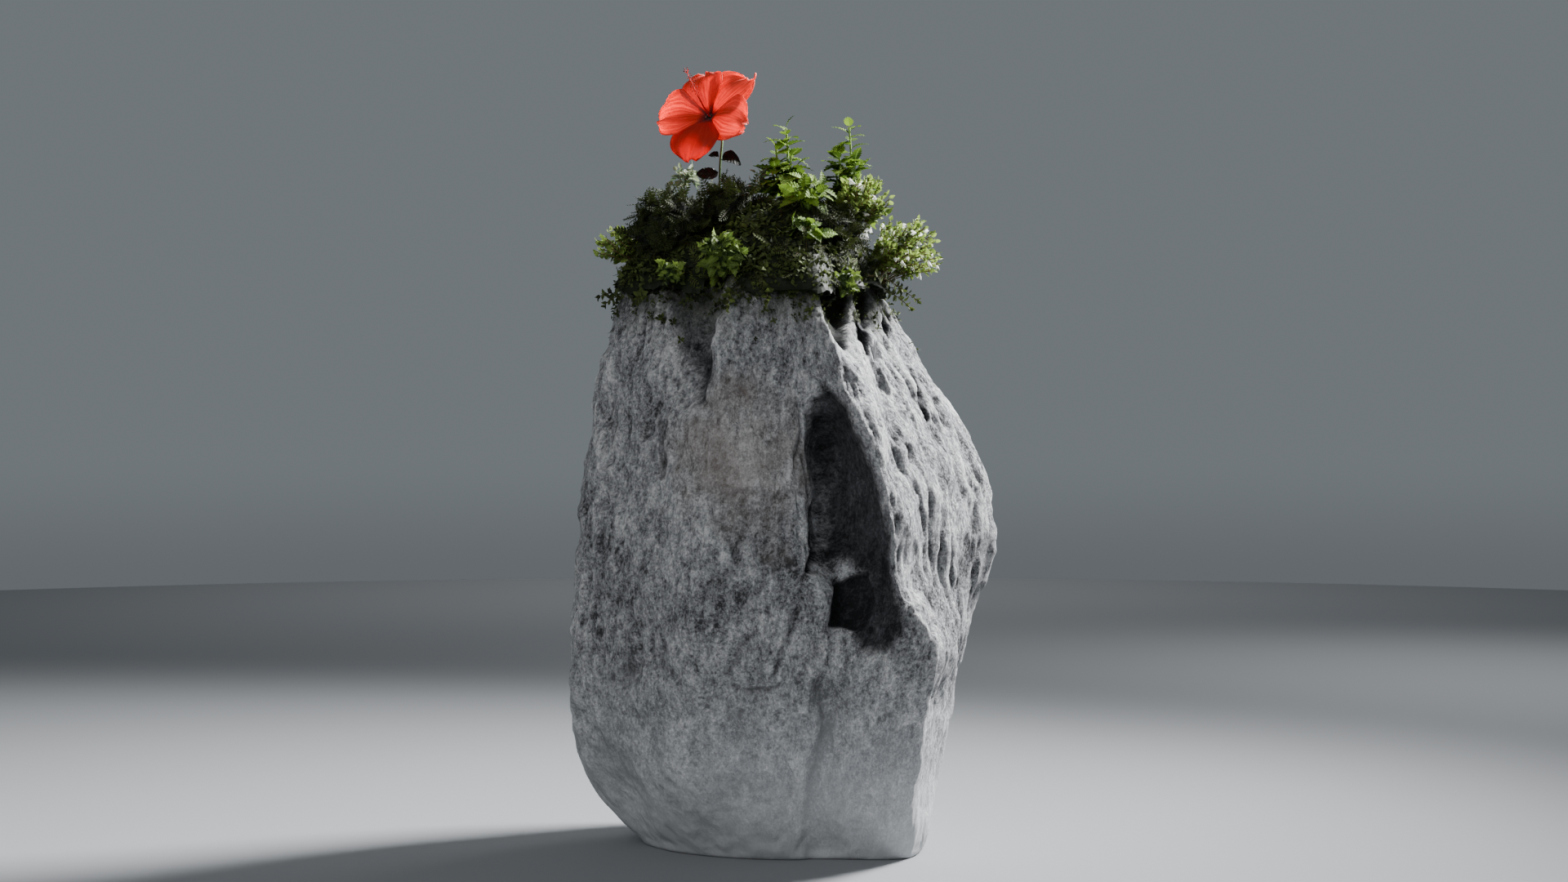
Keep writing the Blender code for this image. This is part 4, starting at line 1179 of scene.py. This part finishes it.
# %% Tubes and beads
def tube_points(route, radii, sides=8):
    """A closed round tube along a route, with a radius at each point, as points and faces."""
    verts, faces = [], []
    for i, (place, radius) in enumerate(zip(route, radii)):
        ahead = (route[min(i + 1, len(route) - 1)] - route[max(i - 1, 0)]).normalized()
        side = ahead.orthogonal().normalized() if i == 0 else (side - ahead * side.dot(ahead)).normalized()
        up = ahead.cross(side)
        for k in range(sides):
            turn = math.tau * k / sides
            verts.append(tuple(place + (side * math.cos(turn) + up * math.sin(turn)) * radius))
        if i:
            a, b = (i - 1) * sides, i * sides
            faces += [(a + k, a + (k + 1) % sides, b + (k + 1) % sides, b + k) for k in range(sides)]
    faces += [tuple(range(sides))[::-1], tuple(range(len(verts) - sides, len(verts)))]
    return verts, faces


def bead_points(place, radius):
    """A small round bead as points and faces."""
    bm = bmesh.new()
    bmesh.ops.create_icosphere(bm, subdivisions=1, radius=radius)
    verts = [tuple(v.co + place) for v in bm.verts]
    faces = [tuple(v.index for v in face.verts) for face in bm.faces]
    bm.free()
    return verts, faces


def assembled(name, parts):
    """Several closed shapes as one smooth mesh object. Each has its own blade value."""
    verts, faces, blade = joined([(v, f, [value] * len(v)) for (v, f), value in parts])
    mesh = plant_mesh(name, verts, faces, blade)
    mesh.shade_smooth()
    return shown(name, mesh)


# %% Column, stamens and stigma
COLUMN_LENGTH = 0.064
BODY_TONE, BEAD_TONE = (0.30, 0.5, LEAF), (0.04, 0.5, LEAF)
draw = random.Random(4)


def column_at(t):
    """A point on the column, which bends towards the light."""
    bend = (TOP * 0.026 - RIGHT * 0.008) * t**1.6
    return FLOWER_CENTRE + AHEAD * (COLUMN_LENGTH * t) + bend


route = [column_at(t / 16 * 0.93) for t in range(17)]
parts = [(tube_points(route, [0.0011 - 0.0006 * i / 16 for i in range(17)]), BODY_TONE)]
for i in range(30):
    t = 0.55 + 0.35 * i / 30
    turn = i * 2.4
    out = (RIGHT * math.cos(turn) + TOP * math.sin(turn)) * draw.uniform(0.8, 1.2) + AHEAD * 0.5
    tip = column_at(t) + out * 0.0034
    parts.append((tube_points([column_at(t), tip], [0.0002, 0.00016], 4), BODY_TONE))
    parts.append((bead_points(tip, 0.0006), BEAD_TONE))
for i in range(5):
    turn = math.tau * i / 5
    tip = column_at(0.99) + (RIGHT * math.cos(turn) + TOP * math.sin(turn)) * 0.0030
    parts.append((tube_points([column_at(0.92), tip], [0.0003, 0.0003], 5), BODY_TONE))
    parts.append((bead_points(tip, 0.0009), BEAD_TONE))
finished(assembled("column_and_stamens", parts), petal_skin, "petal_red", "hibiscus_column")

# %% Calyx and stem
HIBISCUS_LEAF = leaf_finish("glossy_hibiscus_leaf", "#030b05", "#0a2010", "#183420", "#e9ecdc", 0.0, 0.55)
HIBISCUS_STEM = leaf_finish("hibiscus_stem", "#4a6a3c", "#7b9a62", "#7f9c68", "#e9ecdc", 0.0, 0.5)
CALYX_LENGTH = 0.034
CALYX_PROFILE = ((0.03, 0.0052), (0.2, 0.0064), (0.45, 0.0072), (0.7, 0.0062), (0.85, 0.0050), (0.95, 0.0040),
                 (1.0, 0.0024))
PLAIN_GREEN = (0.4, 0.5, LEAF)

route = [FLOWER_CENTRE - AHEAD * CALYX_LENGTH * share for share, _ in CALYX_PROFILE]
parts = [(tube_points(route, [radius for _, radius in CALYX_PROFILE], 20), PLAIN_GREEN)]
for i in range(7):
    turn = math.tau * i / 7
    out = RIGHT * math.cos(turn) + TOP * math.sin(turn)
    start = FLOWER_CENTRE - AHEAD * CALYX_LENGTH * 0.93 + out * 0.003
    bract = [start, start + out * 0.0055 + AHEAD * 0.003, start + out * 0.0075 + AHEAD * 0.009]
    parts.append((tube_points(bract, [0.0011, 0.0010, 0.0002], 5), PLAIN_GREEN))
finished(assembled("calyx_and_bracts", parts), HIBISCUS_LEAF, "hibiscus_leaf_green", "hibiscus_calyx")

STEM_PATH = [Vector(p) for p in (
    (-0.0755, -0.018, 0.852), (-0.0775, -0.017, 0.835), (-0.0785, -0.016, 0.810), (-0.078, -0.016, 0.770),
)]
calyx_foot = FLOWER_CENTRE - AHEAD * (CALYX_LENGTH + 0.0003)
corners = [calyx_foot, calyx_foot - AHEAD * 0.004, *STEM_PATH]
route = [a.lerp(b, k / 4) for a, b in zip(corners, corners[1:]) for k in range(4)] + [corners[-1]]
for _ in range(3):
    middle = [(a + b * 2 + c) / 4 for a, b, c in zip(route, route[1:], route[2:])]
    route = [route[0], *middle, route[-1]]
stalk = assembled("hibiscus_stalk", [(tube_points(route, [0.0014] * len(route), 10), PLAIN_GREEN)])
finished(stalk, HIBISCUS_STEM, "hibiscus_stem_green", "hibiscus_stem")

# %% Leaves on the stem
# Each leaf: solid, rise on the stem, way out, way up, length, half width, curl along, cup across.
STEM_LEAVES = (
    ("hibiscus_leaf_small", 0.002, (-0.70, -0.45, 0.55), (0.5, -0.7, 0.5), 0.013, 0.0060, 0.9, 0.5),
    ("hibiscus_leaf_curled", 0.000, (0.75, -0.55, 0.10), (-0.1, -0.75, 0.6), 0.026, 0.0105, 0.85, 0.6),
    ("hibiscus_leaf_oval", -0.018, (-0.97, -0.20, -0.02), (0.0, -0.95, 0.35), 0.027, 0.0088, 0.10, 0.15),
)


def stem_leaf(node, rise, out, up, length, half_width, curl, cup):
    """One dark leaf of the hibiscus, curled along its length and cupped across it."""
    out, up = Vector(out).normalized(), Vector(up).normalized()
    side = up.cross(out).normalized()
    face = out.cross(side).normalized()
    foot = STEM_PATH[1] + Vector((math.copysign(0.0025, out.x), -0.0017, rise))

    def place(along, across):
        half = half_width * max(math.sin(math.pi * min(along * 0.93 + 0.05, 1.0)) ** 0.7, 0.06)
        toothed = across * half * (1 - 0.10 * abs(math.sin(along * 22)) * abs(across))
        dish = cup * across**2 * half + 0.0005 * math.sin(along * 15) * across
        whole = 1.6 * curl
        turn, bend = whole * along, max(whole, 0.01)
        ahead = out * (math.sin(turn) / bend) - face * ((1 - math.cos(turn)) / bend)
        return foot + ahead * length + side * toothed + face * dish

    leaf = sheet_of(node.replace("hibiscus_leaf", "stalk_leaf"), (20, 10), place, LEAF_THICKNESS)
    finished(leaf, HIBISCUS_LEAF, "hibiscus_leaf_green", node)


for entry in STEM_LEAVES:
    stem_leaf(*entry)

# %% [markdown]
# ## Sizes
# The box of the dressed object and its count of triangles are printed. The dressed
# object has to stay inside the box of its solids.

# %% Box and triangle count
low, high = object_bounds()
total = sum(len(o.data.loop_triangles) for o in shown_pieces() if o.type == "MESH")
print("all triangles", total, "box", [round(v, 4) for v in (*low, *high)])
